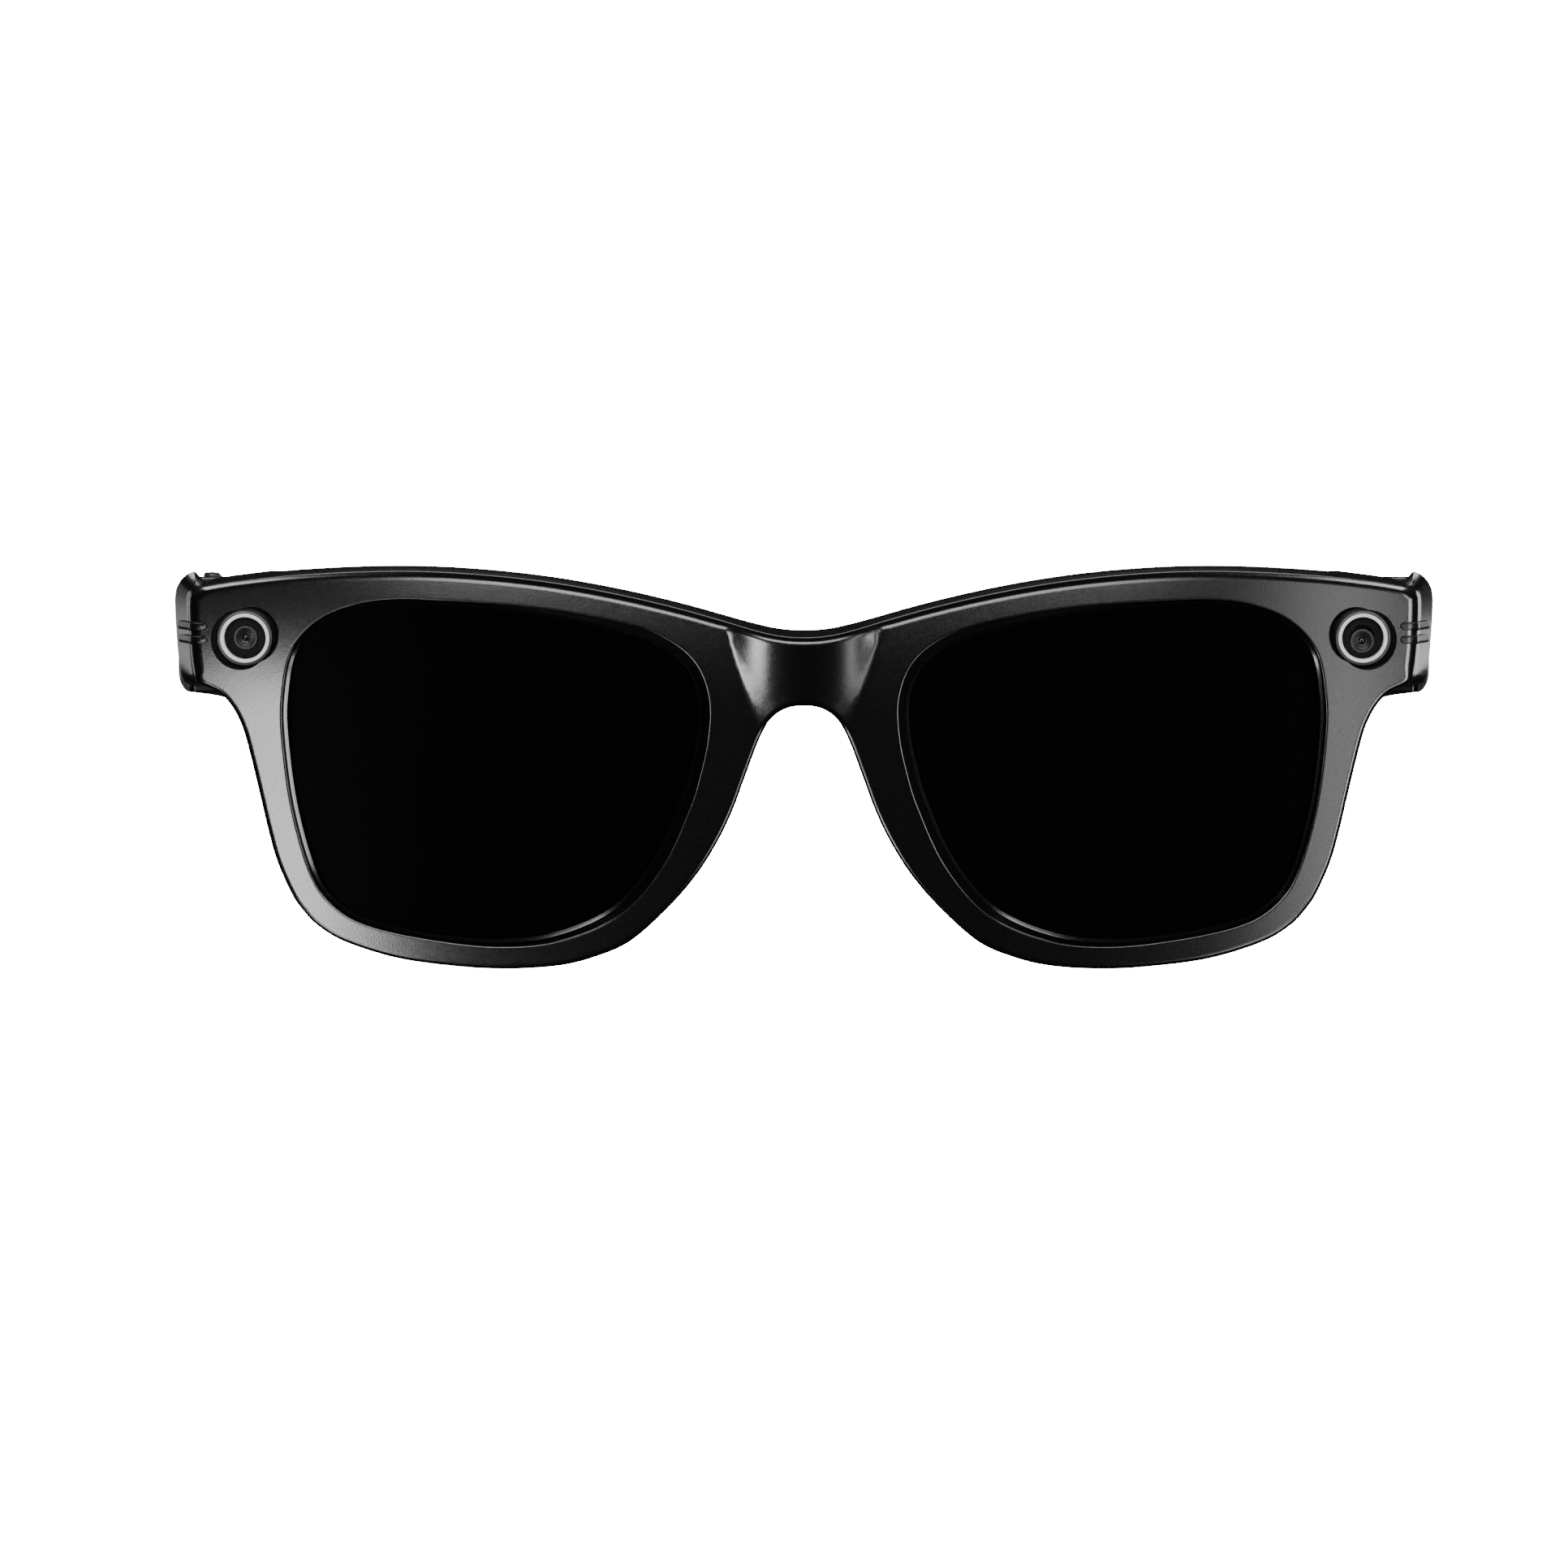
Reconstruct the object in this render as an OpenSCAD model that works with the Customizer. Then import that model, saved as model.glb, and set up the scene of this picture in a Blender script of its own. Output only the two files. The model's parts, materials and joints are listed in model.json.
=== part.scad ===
// Smart glasses: a moulded front with two cameras, two folding temples that hold the electronics,
// a capture button and a power slider. +Z is up, the front faces -Y and the glasses stand open on z = 0.
// Everything is drawn in the front's own frame, u across, w backwards and v up, and stood() leans it.

/* [Front] */
// Radius of the face wrap of the front
wrap_r = 250; // [230:5:280]
// Thickness of the rims, front to back
rim_t = 5.2; // [5.2:0.1:5.6]
// Lean of the top of the front towards -Y when the glasses stand
lean = 1.9; // [1.8:0.05:2.0]
// How far the bridge stands proud of the face at its top
bridge_proud = 2.4; // [1.6:0.1:2.6]
// Radius of the bridge's ridge
bridge_r = 15; // [12:1:18]
// Backward slope of the ridge towards the nose
bridge_tilt = 9; // [6:1:10]

/* [Lenses] */
// Thickness of a lens
lens_t = 2; // [1.8:0.1:2.2]
// How far a lens reaches into its groove
groove_d = 0.6; // [0.4:0.1:0.8]
// Depth of the groove's front wall behind the face
groove_front = 1.7; // [1.5:0.1:1.9]
// Width of the bevel in front of a lens
bevel_w = 1.1; // [0.8:0.1:1.3]

/* [Cameras] */
// Distance of a camera from the middle
camera_u = 66.4; // [66.2:0.1:66.6]
// Height of a camera
camera_v = 15.4; // [15.2:0.1:15.6]
// Outer radius of the bezel
bezel_r = 3.26; // [3.1:0.02:3.3]
// Outer radius of the light ring
ring_r = 2.93; // [2.8:0.01:2.95]
// Radius of the window
window_r = 2.5; // [2.4:0.05:2.6]
// Radius of the lens barrel
barrel_r = 1.42; // [1.3:0.02:1.5]
// How much lower the left barrel sits in its ring
left_barrel_drop = 0.4; // [0:0.1:0.4]

/* [Hinges] */
// Distance of a hinge pin from the middle
hinge_u = 65.8; // [65.7:0.1:65.9]
// Depth of the hinge pin and of the joint face
hinge_w = 17; // [16.9:0.1:17.2]
// Gap between the front and a temple
joint_gap = 0.1; // [0.08:0.01:0.12]
// Height of the hinge barrel
hinge_h = 9; // [8.6:0.2:9.4]
// Outer radius of a knuckle
knuckle_r = 1.6; // [1.5:0.05:1.65]
// Radius of the hinge pin
pin_r = 0.7; // [0.65:0.05:0.75]
// Running clearance of the pin in the temple's knuckles
pin_clear = 0.05; // [0.03:0.01:0.08]

/* [Temples] */
// Thickness of a temple's outer cover
cover_t = 1.7; // [1.5:0.1:1.8]
// Thickness of a temple's walls
wall_t = 1.3; // [1.2:0.1:1.4]
// Where the outer cover ends
cover_end = 104; // [102:1:106]
// Travel of the capture button
button_travel = 0.4; // [0.3:0.05:0.45]
// Travel of the power slider
slider_travel = 2; // [1.5:0.25:2.25]

/* [Hidden] */

$fn = 48;
wrap_fn = 256;
far = 40;
right = -1;
left = 1;

// Half outline of the front in u and v, from the bridge's top round the endpiece to the nose arch.
half_outline = [
    [0, 16.6], [3, 16.8], [7, 17.75], [14.4, 19.8], [22, 21.5], [30, 22.9], [38, 23.65], [46, 24],
    [55, 23.8], [62, 23.1], [67.5, 22.3], [71, 21.7], [72.7, 20.9], [73.3, 19.3],
    [73.3, 15.5], [73.1, 12], [72.4, 10.2], [71, 9.6], [69, 8.5], [67.6, 6.6], [66.6, 3.8],
    [65.2, -1.5], [63.9, -7.3], [62.1, -13.1], [59.8, -16.9], [57, -19.4], [53, -21.3],
    [48.5, -22.4], [42, -23.2], [35.6, -23.44], [29.4, -23], [25, -21.95], [20.6, -20],
    [16.2, -16.1], [12.8, -12.2], [9.8, -7.4], [7.4, -1.6], [5.6, 3.2], [4.4, 5.7],
    [3.2, 7], [1.7, 7.85], [0, 8.05]
];
rim_low = [35.6, -23.44];

// Outline of the visible lens edge in u and v, anticlockwise from the middle of its nose side.
lens_points = [
    [13.5, 0.2], [14.7, -3.6], [17.8, -10.3], [22.6, -15.9], [29.2, -19], [36, -20],
    [43.3, -19.6], [51, -18.2], [55.2, -16.2], [58, -12.6], [60.3, -4.7], [61.4, 4],
    [61.3, 9], [60.2, 13.8], [57, 17.2], [52.5, 19], [48, 19.6], [43, 19.5],
    [36, 19], [29.3, 18.1], [22.2, 16.6], [17.8, 15.2], [14.1, 12.6], [12.5, 8.8], [12.6, 4.4]
];

// Endpiece block: its outline in u and v, and its plan in u and w.
endpiece_top = 22.3;
endpiece_outline = [
    [61, 8.6], [69.4, 8.6], [71.6, 9], [73.5, 9.4], [74.7, 10.4], [75.2, 12.4], [75.4, 16],
    [75.3, 19.6], [74.5, 21.2], [72.8, 22.1], [69, endpiece_top], [65, 22.6], [61, 22.9]
];
endpiece_inner_u = 61.6;
endpiece_plan = [
    [endpiece_inner_u, 5], [73.3, 5], [73.3, 10.9], [74.5, 13], [75.2, 15], [75.4, hinge_w],
    [63.4, hinge_w], [endpiece_inner_u, 13.4]
];

// Middle line of the channel that runs over the lenses to both cameras, in u and v.
channel_line = [
    [0, 12.4], [8, 14.6], [14.5, 17.6], [22, 19.2], [30, 20.6], [38, 21.4], [46, 21.8],
    [54, 21.4], [59.5, 19.9], [63, 17.6]
];
channel_w = 2.4;
channel_front = 3.4;
back_cover_t = 0.8;
back_cover_points = 8;

// Side of a temple in w and v, and its plan in u and w.
temple_front = hinge_w + joint_gap;
stand_z = -(wrap(rim_low[0]) * sin(lean) + rim_low[1] * cos(lean));
function floor_v(w) = -(stand_z + w * sin(lean)) / cos(lean);
temple_top = [
    [temple_front, 22.3], [30, 19.9], [50, 15.9], [70, 11.9], [85, 8.8], [100, 4.9],
    [114, 0.9], [125, -3], [132, -6.4], [137.5, -10.6], [142, -15.2], [146, -20], [148.2, -24.6]
];
temple_bottom = [
    [148.4, -27], [147, floor_v(147)], [141, floor_v(141)], [138, -26.4], [135, -22.9],
    [131, -18.4], [125, -14], [116, -9.9], [105, -6], [92, -2.8], [75, 0.8], [55, 4.2],
    [35, 6.6], [22, 7.9], [temple_front, 8.3]
];
temple_inner = [[temple_front, 66.5], [85, 65.5], [115, 64.5], [132, 62.9], [141, 61.5], [150, 59.9]];
temple_outer = [
    [150, 66.1], [140, 67.2], [120, 68.6], [100, 70], [80, 72.1], [60, 74], [40, 75.1],
    [25, 75.6], [temple_front, 75.4]
];
cavity_front = 23;
cavity_end = 99;
temple_slope = 11.3;
temple_sweep = 0.9;

// Hinge leaf plates, and the screws through them.
knuckles = 5;
knuckle_gap = 0.06;
leaf_t = 1.2;
leaf_end = 73;
leaf_low = camera_v - hinge_h / 2;
leaf_high = camera_v + hinge_h / 2;
relief_r = knuckle_r + 0.15;
screw_r = 0.6;
screw_head_r = 1.05;
screw_head_t = 0.6;
screw_l = 3.4;
screw_u = 71.3;
screw_rise = 2.6;

// Cameras: depths are measured from the front of the bezel.
bezel_w = wrap(camera_u) - 0.25;
bezel_l = 2.4;
ring_l = 1.2;
window_front = 0.2;
window_t = 0.5;
bezel_lip_r = 1.95;
module_side = 4.4;
module_front = 2.6;
module_back = 5.2;
board_t = 0.6;
pocket_deep = 1.5;

// Pill-shaped capture button on the right temple's top, and the slider on the left temple's inside.
button_u = 71.7;
button_w = 24.2;
button_v = 21;
button_l = 6.4;
button_width = 2;
button_proud = 1;
button_stem = 1.6;
slider_w = 34;
slider_v = 13.4;
slider_l = 4.5;
slider_h = 2.2;
slider_proud = 0.7;
slider_slot_d = 0.8;
slider_side_gap = 0.15;
stem_half_l = 0.6;
stem_half_h = 0.35;

// --- Curves ---------------------------------------------------------------------------------------

// Depth of the front's face at u, and the depth of a surface d behind it.
function wrap(u) = wrap_r - sqrt(wrap_r * wrap_r - u * u);
function behind(u, d) = wrap_r - sqrt((wrap_r - d) * (wrap_r - d) - u * u);

// Point on a smooth curve through b and c, with neighbours a and d.
function curve_point(a, b, c, d, t) =
    (2 * b + (c - a) * t + (2 * a - 5 * b + 4 * c - d) * t * t + (3 * b - a - 3 * c + d) * t * t * t) / 2;

// Closed smooth loop through the points, with n pieces to a span.
function smooth_loop(p, n) = let (c = len(p)) [
    for (i = [0 : c - 1], k = [0 : n - 1])
        curve_point(p[(i + c - 1) % c], p[i], p[(i + 1) % c], p[(i + 2) % c], k / n)
];

// Open smooth line through the points, with n pieces to a span.
function smooth_line(p, n) = let (c = len(p)) concat([
    for (i = [0 : c - 2], k = [0 : n - 1])
        curve_point(p[max(i - 1, 0)], p[i], p[i + 1], p[min(i + 2, c - 1)], k / n)
], [p[c - 1]]);

// The half line and its mirror image, as one loop or one line across the middle.
function mirrored_loop(p) = let (c = len(p)) concat(p, [for (i = [c - 2 : -1 : 1]) [-p[i][0], p[i][1]]]);
function mirrored_line(p) = let (c = len(p)) concat([for (i = [c - 1 : -1 : 1]) [-p[i][0], p[i][1]]], p);

// Unit normal on the right-hand side of the way from a to b.
function side_normal(a, b) = let (d = b - a) [d[1], -d[0]] / norm(d);

// Anticlockwise loop grown by g.
function grown(p, g) = let (c = len(p)) [
    for (i = [0 : c - 1]) p[i] + g * side_normal(p[(i + c - 1) % c], p[(i + 1) % c])
];

// Outline of a band from g0 to g1 on the right-hand side of a line.
function band(p, g0, g1) = let (c = len(p)) concat(
    [for (i = [0 : c - 1]) p[i] + g1 * side_normal(p[max(i - 1, 0)], p[min(i + 1, c - 1)])],
    [for (i = [c - 1 : -1 : 0]) p[i] + g0 * side_normal(p[max(i - 1, 0)], p[min(i + 1, c - 1)])]
);

frame_outline = smooth_loop(mirrored_loop(half_outline), 2);
lens_outline = smooth_loop(lens_points, 2);
channel_path = smooth_line(mirrored_line(channel_line), 2);
cover_path = [for (p = channel_path) if (abs(p[0]) < 60.6) p];
temple_side = concat(smooth_line(temple_top, 2), temple_bottom);

// --- Placing --------------------------------------------------------------------------------------

// The front's frame, leaned and set down with the middle of the whole object over the origin.
middle_w = 73;
module stood() { translate([0, -middle_w, stand_z]) rotate([lean, 0, 0]) children(); }
module on_side(s) { mirror([s < 0 ? 1 : 0, 0, 0]) children(); }
module both_sides() { for (s = [right, left]) on_side(s) children(); }

// Extrusions along the three directions, of an outline in the other two.
module along_w(w0, w1, p) { translate([0, w1, 0]) rotate([90, 0, 0]) linear_extrude(w1 - w0) polygon(p); }
module along_v(v0, v1, p) { translate([0, 0, v0]) linear_extrude(v1 - v0) polygon(p); }
module along_u(u0, u1, p) { translate([u0, 0, 0]) rotate([90, 0, 90]) linear_extrude(u1 - u0) polygon(p); }

// A rod backwards from a point, and a block between two corners.
module rod_w(at, r, l) { translate(at) rotate([-90, 0, 0]) cylinder(h = l, r = r); }
module block(low, high) { translate(low) cube(high - low); }

// The space inside the wrapped surface d behind the face, and the shell between two of them.
module wrapped(d) { translate([0, wrap_r, -far]) cylinder(h = 2 * far, r = wrap_r - d, $fn = wrap_fn); }
module wrapped_shell(d0, d1) { difference() { wrapped(d0); wrapped(d1); } }

// A frame of its own on a temple: the origin on the point, y along the temple and z up from its top.
module on_temple(at, slope = temple_slope, sweep = temple_sweep) {
    translate(at) rotate([0, 0, sweep]) rotate([-slope, 0, 0]) children();
}
module centred_box(size) { translate(-size / 2) cube(size); }

// Pill with its length along y, standing on z = 0.
module pill(l, width, h) {
    union() {
        for (y = [-1, 1]) translate([0, y * (l - width) / 2, 0]) cylinder(h = h, r = width / 2);
        translate([-width / 2, -(l - width) / 2, 0]) cube([width, l - width, h]);
    }
}

// --- Front ----------------------------------------------------------------------------------------

// A bump of the front across the bridge.
module bridge_ridge() {
    ridge_v = 16;  // height at which the ridge stands bridge_proud in front
    intersection() {
        along_w(-4, groove_front, frame_outline);
        translate([0, bridge_r - bridge_proud, ridge_v]) rotate([bridge_tilt, 0, 0])
            translate([0, 0, -far / 2]) cylinder(h = far, r = bridge_r, $fn = 96);
    }
}

// Nose pad: a long drop turned about its length, half sunk in the rim.
module nose_pad() {
    pad_r = 3.1;
    pad_l = 14;
    profile = [for (a = [0 : 15 : 180]) [pad_r * sin(a), -pad_l / 2 * cos(a)]];
    translate([11.2, 6.6, -3.4]) rotate([12, 0, 0]) rotate([0, -24, 0])
        rotate_extrude($fn = 32) polygon(profile);
}

// The thick corner that holds a camera and meets the temple.
module endpiece_block() {
    intersection() {
        along_w(0, hinge_w, endpiece_outline);
        along_v(0, far, endpiece_plan);
    }
}

// The front's moulding before anything is cut from it.
module front_blank() {
    intersection() {
        wrapped(0);
        union() {
            difference() {
                along_w(-1, far, frame_outline);
                wrapped(rim_t);
            }
            both_sides() endpiece_block();
        }
    }
    bridge_ridge();
    both_sides() nose_pad();
}

// Opening of a rim: the bevel in front, the way through, and the groove round the lens.
module lens_cut() {
    along_w(-1, far / 2, lens_outline);
    difference() {
        along_w(-1, far / 2, grown(lens_outline, bevel_w));
        wrapped(groove_front - 0.4);
    }
    lens_body();
}

// A lens fills its groove.
module lens_body() {
    intersection() {
        wrapped_shell(groove_front, groove_front + lens_t);
        along_w(-1, far / 2, grown(lens_outline, groove_d));
    }
}

// Recess round a camera: two round pockets whose middles lie apart, and the bore for its parts.
module camera_cut() {
    rod_w([camera_u + 0.68, 0, camera_v - 0.28], 3.46, bezel_w + pocket_deep);
    rod_w([camera_u - 0.82, 0, camera_v + 0.34], 3.22, bezel_w + pocket_deep - 0.4);
    rod_w([camera_u, bezel_w, camera_v], bezel_r, bezel_l);
    block([camera_u - 2.5, bezel_w + bezel_l, camera_v - 3.1],
          [camera_u + 2.5, bezel_w + module_back + board_t + 0.1, camera_v + 2.8]);
}

// Two inlaid pins that wrap from the face round the corner to the flank.
pin_h = 0.87;
pin_pitch = 1.6;
pin_top_v = 16.6;
pin_proud = 0.12;
pin_depth = 0.6;
pin_path = [[71.4, wrap(71.4)], [73.3, 10.9], [74.5, 13], [75.2, 15], [75.35, 16]];
module trim_pin_pair() {
    for (i = [0, 1]) translate([0, 0, pin_top_v - i * pin_pitch])
        along_v(-pin_h / 2, pin_h / 2, band(pin_path, -pin_depth, pin_proud));
}

// Seats in an endpiece for the hinge: knuckle relief, leaf plate and screws.
module front_hinge_cut() {
    translate([hinge_u, hinge_w, camera_v - hinge_h / 2 - 0.1]) cylinder(h = hinge_h + 0.2, r = relief_r);
    block([hinge_u, hinge_w - leaf_t, leaf_low], [leaf_end, hinge_w + 1, leaf_high]);
    for (z = [-1, 1])
        rod_w([screw_u, hinge_w - screw_l, camera_v + z * screw_rise], screw_r, screw_l);
}

// Channel over the lenses, open at the back between the endpieces.
module brow_channel() {
    intersection() {
        wrapped_shell(channel_front, rim_t + 0.1);
        along_w(-1, far, band(channel_path, -channel_w / 2, channel_w / 2));
    }
}

microphone_at = [0, 2, 10.2];
contact_at = [2, 0, 14.8];
contact_r = 0.8;
port_r = 0.4;
module front_frame() {
    color("#1c1c1e") stood() difference() {
        front_blank();
        both_sides() {
            lens_cut();
            camera_cut();
            trim_pin_pair();
            front_hinge_cut();
        }
        brow_channel();
        bridge_microphone_body();
        rod_w([0, 3, microphone_at[2]], port_r, 3);
        charge_contact_pair();
    }
}

// Strip that closes the channel between the endpieces.
module front_back_cover() {
    color("#242426") stood() intersection() {
        wrapped_shell(rim_t - back_cover_t, rim_t);
        along_w(-1, far, band(cover_path, -channel_w / 2, channel_w / 2));
    }
}

module front_lens(s) { color("#0a0a0a") stood() on_side(s) lens_body(); }

module front_flex_cable() {
    color("#b8772e") stood() intersection() {
        wrapped_shell(channel_front + 0.1, channel_front + 0.35);
        along_w(-1, far, band(cover_path, -channel_w / 2 + 0.4, channel_w / 2 - 0.4));
    }
}

module bridge_microphone_body() {
    block(microphone_at - [1.3, 0, 0.9], microphone_at + [1.3, 1, 0.9]);
}
module bridge_microphone() { color("silver") stood() bridge_microphone_body(); }

module charge_contact_pair() {
    both_sides() rod_w([contact_at[0], behind(contact_at[0], rim_t) - 0.8, contact_at[2]], contact_r, 1);
}
module charge_contacts() { color("gold") stood() charge_contact_pair(); }

module trim_pins(s) { color("#0d0d0e") stood() on_side(s) trim_pin_pair(); }

// --- Cameras --------------------------------------------------------------------------------------

// A turned part on a camera's axis, from a profile in radius and depth.
module camera_turned(p, drop = 0) {
    translate([camera_u, bezel_w, camera_v - drop]) rotate([-90, 0, 0]) rotate_extrude() polygon(p);
}
function tube_profile(r0, r1, d0, d1) = [[r0, d0], [r1, d0], [r1, d1], [r0, d1]];

module camera_bezel(s) {
    color("#3a3a3d") stood() on_side(s) camera_turned([
        [ring_r, 0], [bezel_r, 0], [bezel_r, bezel_l], [bezel_lip_r, bezel_l],
        [bezel_lip_r, ring_l], [ring_r, ring_l]
    ]);
}
module light_ring(s) {
    color("#e8e8e8") stood() on_side(s) camera_turned(tube_profile(window_r, ring_r, 0.05, ring_l));
}
module camera_window(s) {
    color("#101018") stood() on_side(s)
        camera_turned(tube_profile(0, window_r, window_front, window_front + window_t));
}

// Lens barrel with stepped rings round a small front lens, on a square body.
module camera_module(s) {
    drop = s == left ? left_barrel_drop : 0;
    color("#202024") stood() on_side(s) {
        camera_turned([
            [0, 1.5], [0.35, 1.45], [0.4, 1.6], [0.75, 1.45], [0.8, 1.25], [1.05, 1.15],
            [1.1, 0.95], [barrel_r, 0.9], [barrel_r, module_front], [0, module_front]
        ], drop);
        translate([camera_u, bezel_w + (module_front + module_back) / 2, camera_v - drop])
            centred_box([module_side, module_back - module_front, module_side]);
    }
}
module camera_board(s) {
    drop = s == left ? left_barrel_drop : 0;
    color("darkgreen") stood() on_side(s)
        translate([camera_u, bezel_w + module_back + board_t / 2, camera_v - drop])
            centred_box([4.8, board_t, 4.8]);
}

// --- Hinges ---------------------------------------------------------------------------------------

knuckle_h = (hinge_h - (knuckles - 1) * knuckle_gap) / knuckles;
knuckle_pitch = knuckle_h + knuckle_gap;
leaf_neck = 2;

// A leaf of the hinge: knuckles on the pin's axis, their necks, and the screwed plate from w0 to w1.
module hinge_leaf(which, w0, w1, bore_r) {
    foot = camera_v - hinge_h / 2;
    head_w = w0 < hinge_w ? hinge_w - screw_head_t : temple_front;
    difference() {
        union() {
            for (i = which) translate([hinge_u, hinge_w, foot + i * knuckle_pitch]) {
                cylinder(h = knuckle_h, r = knuckle_r);
                translate([0, w0 - hinge_w, 0]) cube([leaf_neck, w1 - w0, knuckle_h]);
            }
            block([hinge_u + relief_r, w0, leaf_low], [leaf_end, w1, leaf_high]);
        }
        translate([hinge_u, hinge_w, foot - 1]) cylinder(h = hinge_h + 2, r = bore_r);
        for (z = [-1, 1]) {
            rod_w([screw_u, w0 - 1, camera_v + z * screw_rise], screw_r, leaf_t + 2);
            rod_w([screw_u, head_w, camera_v + z * screw_rise], screw_head_r, screw_head_t);
        }
    }
}
module hinge_front_leaf(s) {
    color("silver") stood() on_side(s) hinge_leaf([0, 2, 4], hinge_w - leaf_t, hinge_w, pin_r);
}
module hinge_temple_leaf(s) {
    color("silver") stood() on_side(s)
        hinge_leaf([1, 3], temple_front, temple_front + leaf_t, pin_r + pin_clear);
}
module hinge_pin(s) {
    color("gray") stood() on_side(s)
        translate([hinge_u, hinge_w, camera_v - hinge_h / 2]) cylinder(h = hinge_h, r = pin_r);
}

// A pair of screws whose heads lie at w, with their shanks towards way.
module hinge_screw_pair(w, way) {
    for (z = [-1, 1]) translate([screw_u, w, camera_v + z * screw_rise]) rotate([-90 * way, 0, 0]) {
        difference() {
            cylinder(h = screw_head_t, r = screw_head_r);
            translate([-0.12, -far / 2, -1]) cube([0.24, far, 1.25]);
        }
        cylinder(h = screw_l, r = screw_r);
    }
}
module front_hinge_screws() { color("gray") stood() both_sides() hinge_screw_pair(hinge_w, -1); }
module temple_hinge_screws(s) { color("gray") stood() on_side(s) hinge_screw_pair(temple_front, 1); }

// --- Temples --------------------------------------------------------------------------------------

// Plan outline of a temple between its inner face and its outer face, each moved by a distance.
function flipped(p) = [for (q = p) [q[1], q[0]]];
function moved_u(p, d) = [for (q = p) [q[0] + d, q[1]]];
function temple_plan(inner_d, outer_d) = concat(
    moved_u(flipped(temple_inner), inner_d), moved_u(flipped(temple_outer), outer_d)
);
function reversed(p) = [for (i = [len(p) - 1 : -1 : 0]) p[i]];
function seam_line() = reversed(moved_u(flipped(temple_outer), -cover_t));
function cover_plan() = concat(seam_line(), flipped(temple_outer));
function cover_cut_plan() = concat(seam_line(), [[90, 150], [90, temple_front]]);

module temple_blank() {
    intersection() {
        along_u(50, 90, temple_side);
        along_v(-far, far, temple_plan(0, 0));
    }
}

// The outer cover, and the space cleared for it from the housing.
module before_cover_end() { block([50, 0, -far], [90, cover_end, far]); }
module temple_cover_body() {
    intersection() {
        along_u(50, 90, temple_side);
        along_v(-far, far, cover_plan());
        before_cover_end();
    }
}
module temple_cover_cut() {
    intersection() {
        along_v(-far, far, cover_cut_plan());
        before_cover_end();
    }
}
module temple_cavity() {
    inset = grown(temple_side, wall_t);
    intersection() {
        along_u(50, 90, inset);
        along_v(-far, far, temple_plan(wall_t, -cover_t));
        block([50, cavity_front, -far], [90, cavity_end, far]);
    }
}
module temple_hinge_cut() {
    translate([hinge_u, hinge_w, camera_v - hinge_h / 2 - 0.1]) cylinder(h = hinge_h + 0.2, r = relief_r);
    block([hinge_u, temple_front - 1, leaf_low], [leaf_end, temple_front + leaf_t, leaf_high]);
    for (z = [-1, 1])
        rod_w([screw_u, temple_front, camera_v + z * screw_rise], screw_r, screw_l);
}

// Speaker in the bottom of a temple, with its grille flush in the lower edge.
speaker_at = [68.2, 84, 3.4];
speaker_size = [2.1, 13, 5];
grille_at = [68.1, 84, -0.9];
grille_size = [1.8, 9, 0.8];
bottom_slope = 12;
module speaker_body() { on_temple(speaker_at, bottom_slope) centred_box(speaker_size); }
microphone_size = [1, 2.6, 1.8];
temple_microphone_at = [68.6, 27, 10.1];
module temple_shell(s) {
    difference() {
        temple_blank();
        temple_cover_cut();
        temple_cavity();
        temple_hinge_cut();
        on_temple(grille_at, bottom_slope) centred_box([grille_size[0], grille_size[1], 4]);
        if (s == right) {
            on_temple([button_u, button_w, button_v], temple_slope) translate([0, 0, -3.4])
                pill(button_l + 0.2, button_width + 0.2, far);
            status_light_body();
        } else {
            slider_slot();
        }
    }
}
module temple_housing(s) { color("#1c1c1e") stood() on_side(s) temple_shell(s); }
module temple_cover(s) { color("#262628") stood() on_side(s) temple_cover_body(); }
module speaker(s) { color("#30343a") stood() on_side(s) speaker_body(); }

// Grille: a plate with a row of round holes.
module speaker_grille(s) {
    color("#111111") stood() on_side(s) on_temple(grille_at, bottom_slope) difference() {
        centred_box(grille_size);
        for (i = [-4 : 4]) translate([0, i * 0.95, -1]) cylinder(h = 2, r = 0.3);
    }
}
module temple_microphone(s) {
    color("silver") stood() on_side(s) on_temple(temple_microphone_at) centred_box(microphone_size);
}

// --- Right temple: electronics and capture button ---------------------------------------------------

board_at = [69.2, 52, 10.1];
board_size = [0.9, 51, 6.5];
module main_board() { color("darkgreen") stood() on_side(right) on_temple(board_at) centred_box(board_size); }
can_size = [1.4, 18, 5.4];
can_back = 6;
module shield_can() {
    color("silver") stood() on_side(right) on_temple(board_at)
        translate([(board_size[0] + can_size[0]) / 2, -can_back, 0]) centred_box(can_size);
}
touch_at = [72, 56, 9.3];
touch_size = [0.2, 30, 6];
touch_sweep = 4;
module touch_sensor() {
    color("#b8772e") stood() on_side(right)
        on_temple(touch_at, temple_slope, touch_sweep) centred_box(touch_size);
}

// Status light: a short round light guide through the inner wall.
status_at = [65.9, 30, 15];
status_r = 0.5;
status_l = 1.9;
module status_light_body() { translate(status_at) rotate([0, 90, 0]) cylinder(h = status_l, r = status_r); }
module status_light() {
    color("white") stood() on_side(right) intersection() {
        status_light_body();
        temple_blank();
    }
}
switch_drop = 2.9;
switch_size = [1.8, 3, 0.9];
module button_switch() {
    color("silver") stood() on_side(right) on_temple([button_u, button_w, button_v])
        translate([0, 0, -switch_drop]) centred_box(switch_size);
}

// Button: a pill whose lower end stays inside the temple, with a shallow round dish in its top.
dish_r = 8;
dish_d = 0.2;
module capture_button() {
    color("#222224") stood() on_side(right) on_temple([button_u, button_w, button_v]) difference() {
        translate([0, 0, -button_stem]) pill(button_l, button_width, button_stem + button_proud);
        translate([0, 0, button_proud + dish_r - dish_d]) sphere(r = dish_r, $fn = 64);
    }
}

// --- Left temple: battery and power slider ----------------------------------------------------------

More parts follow.
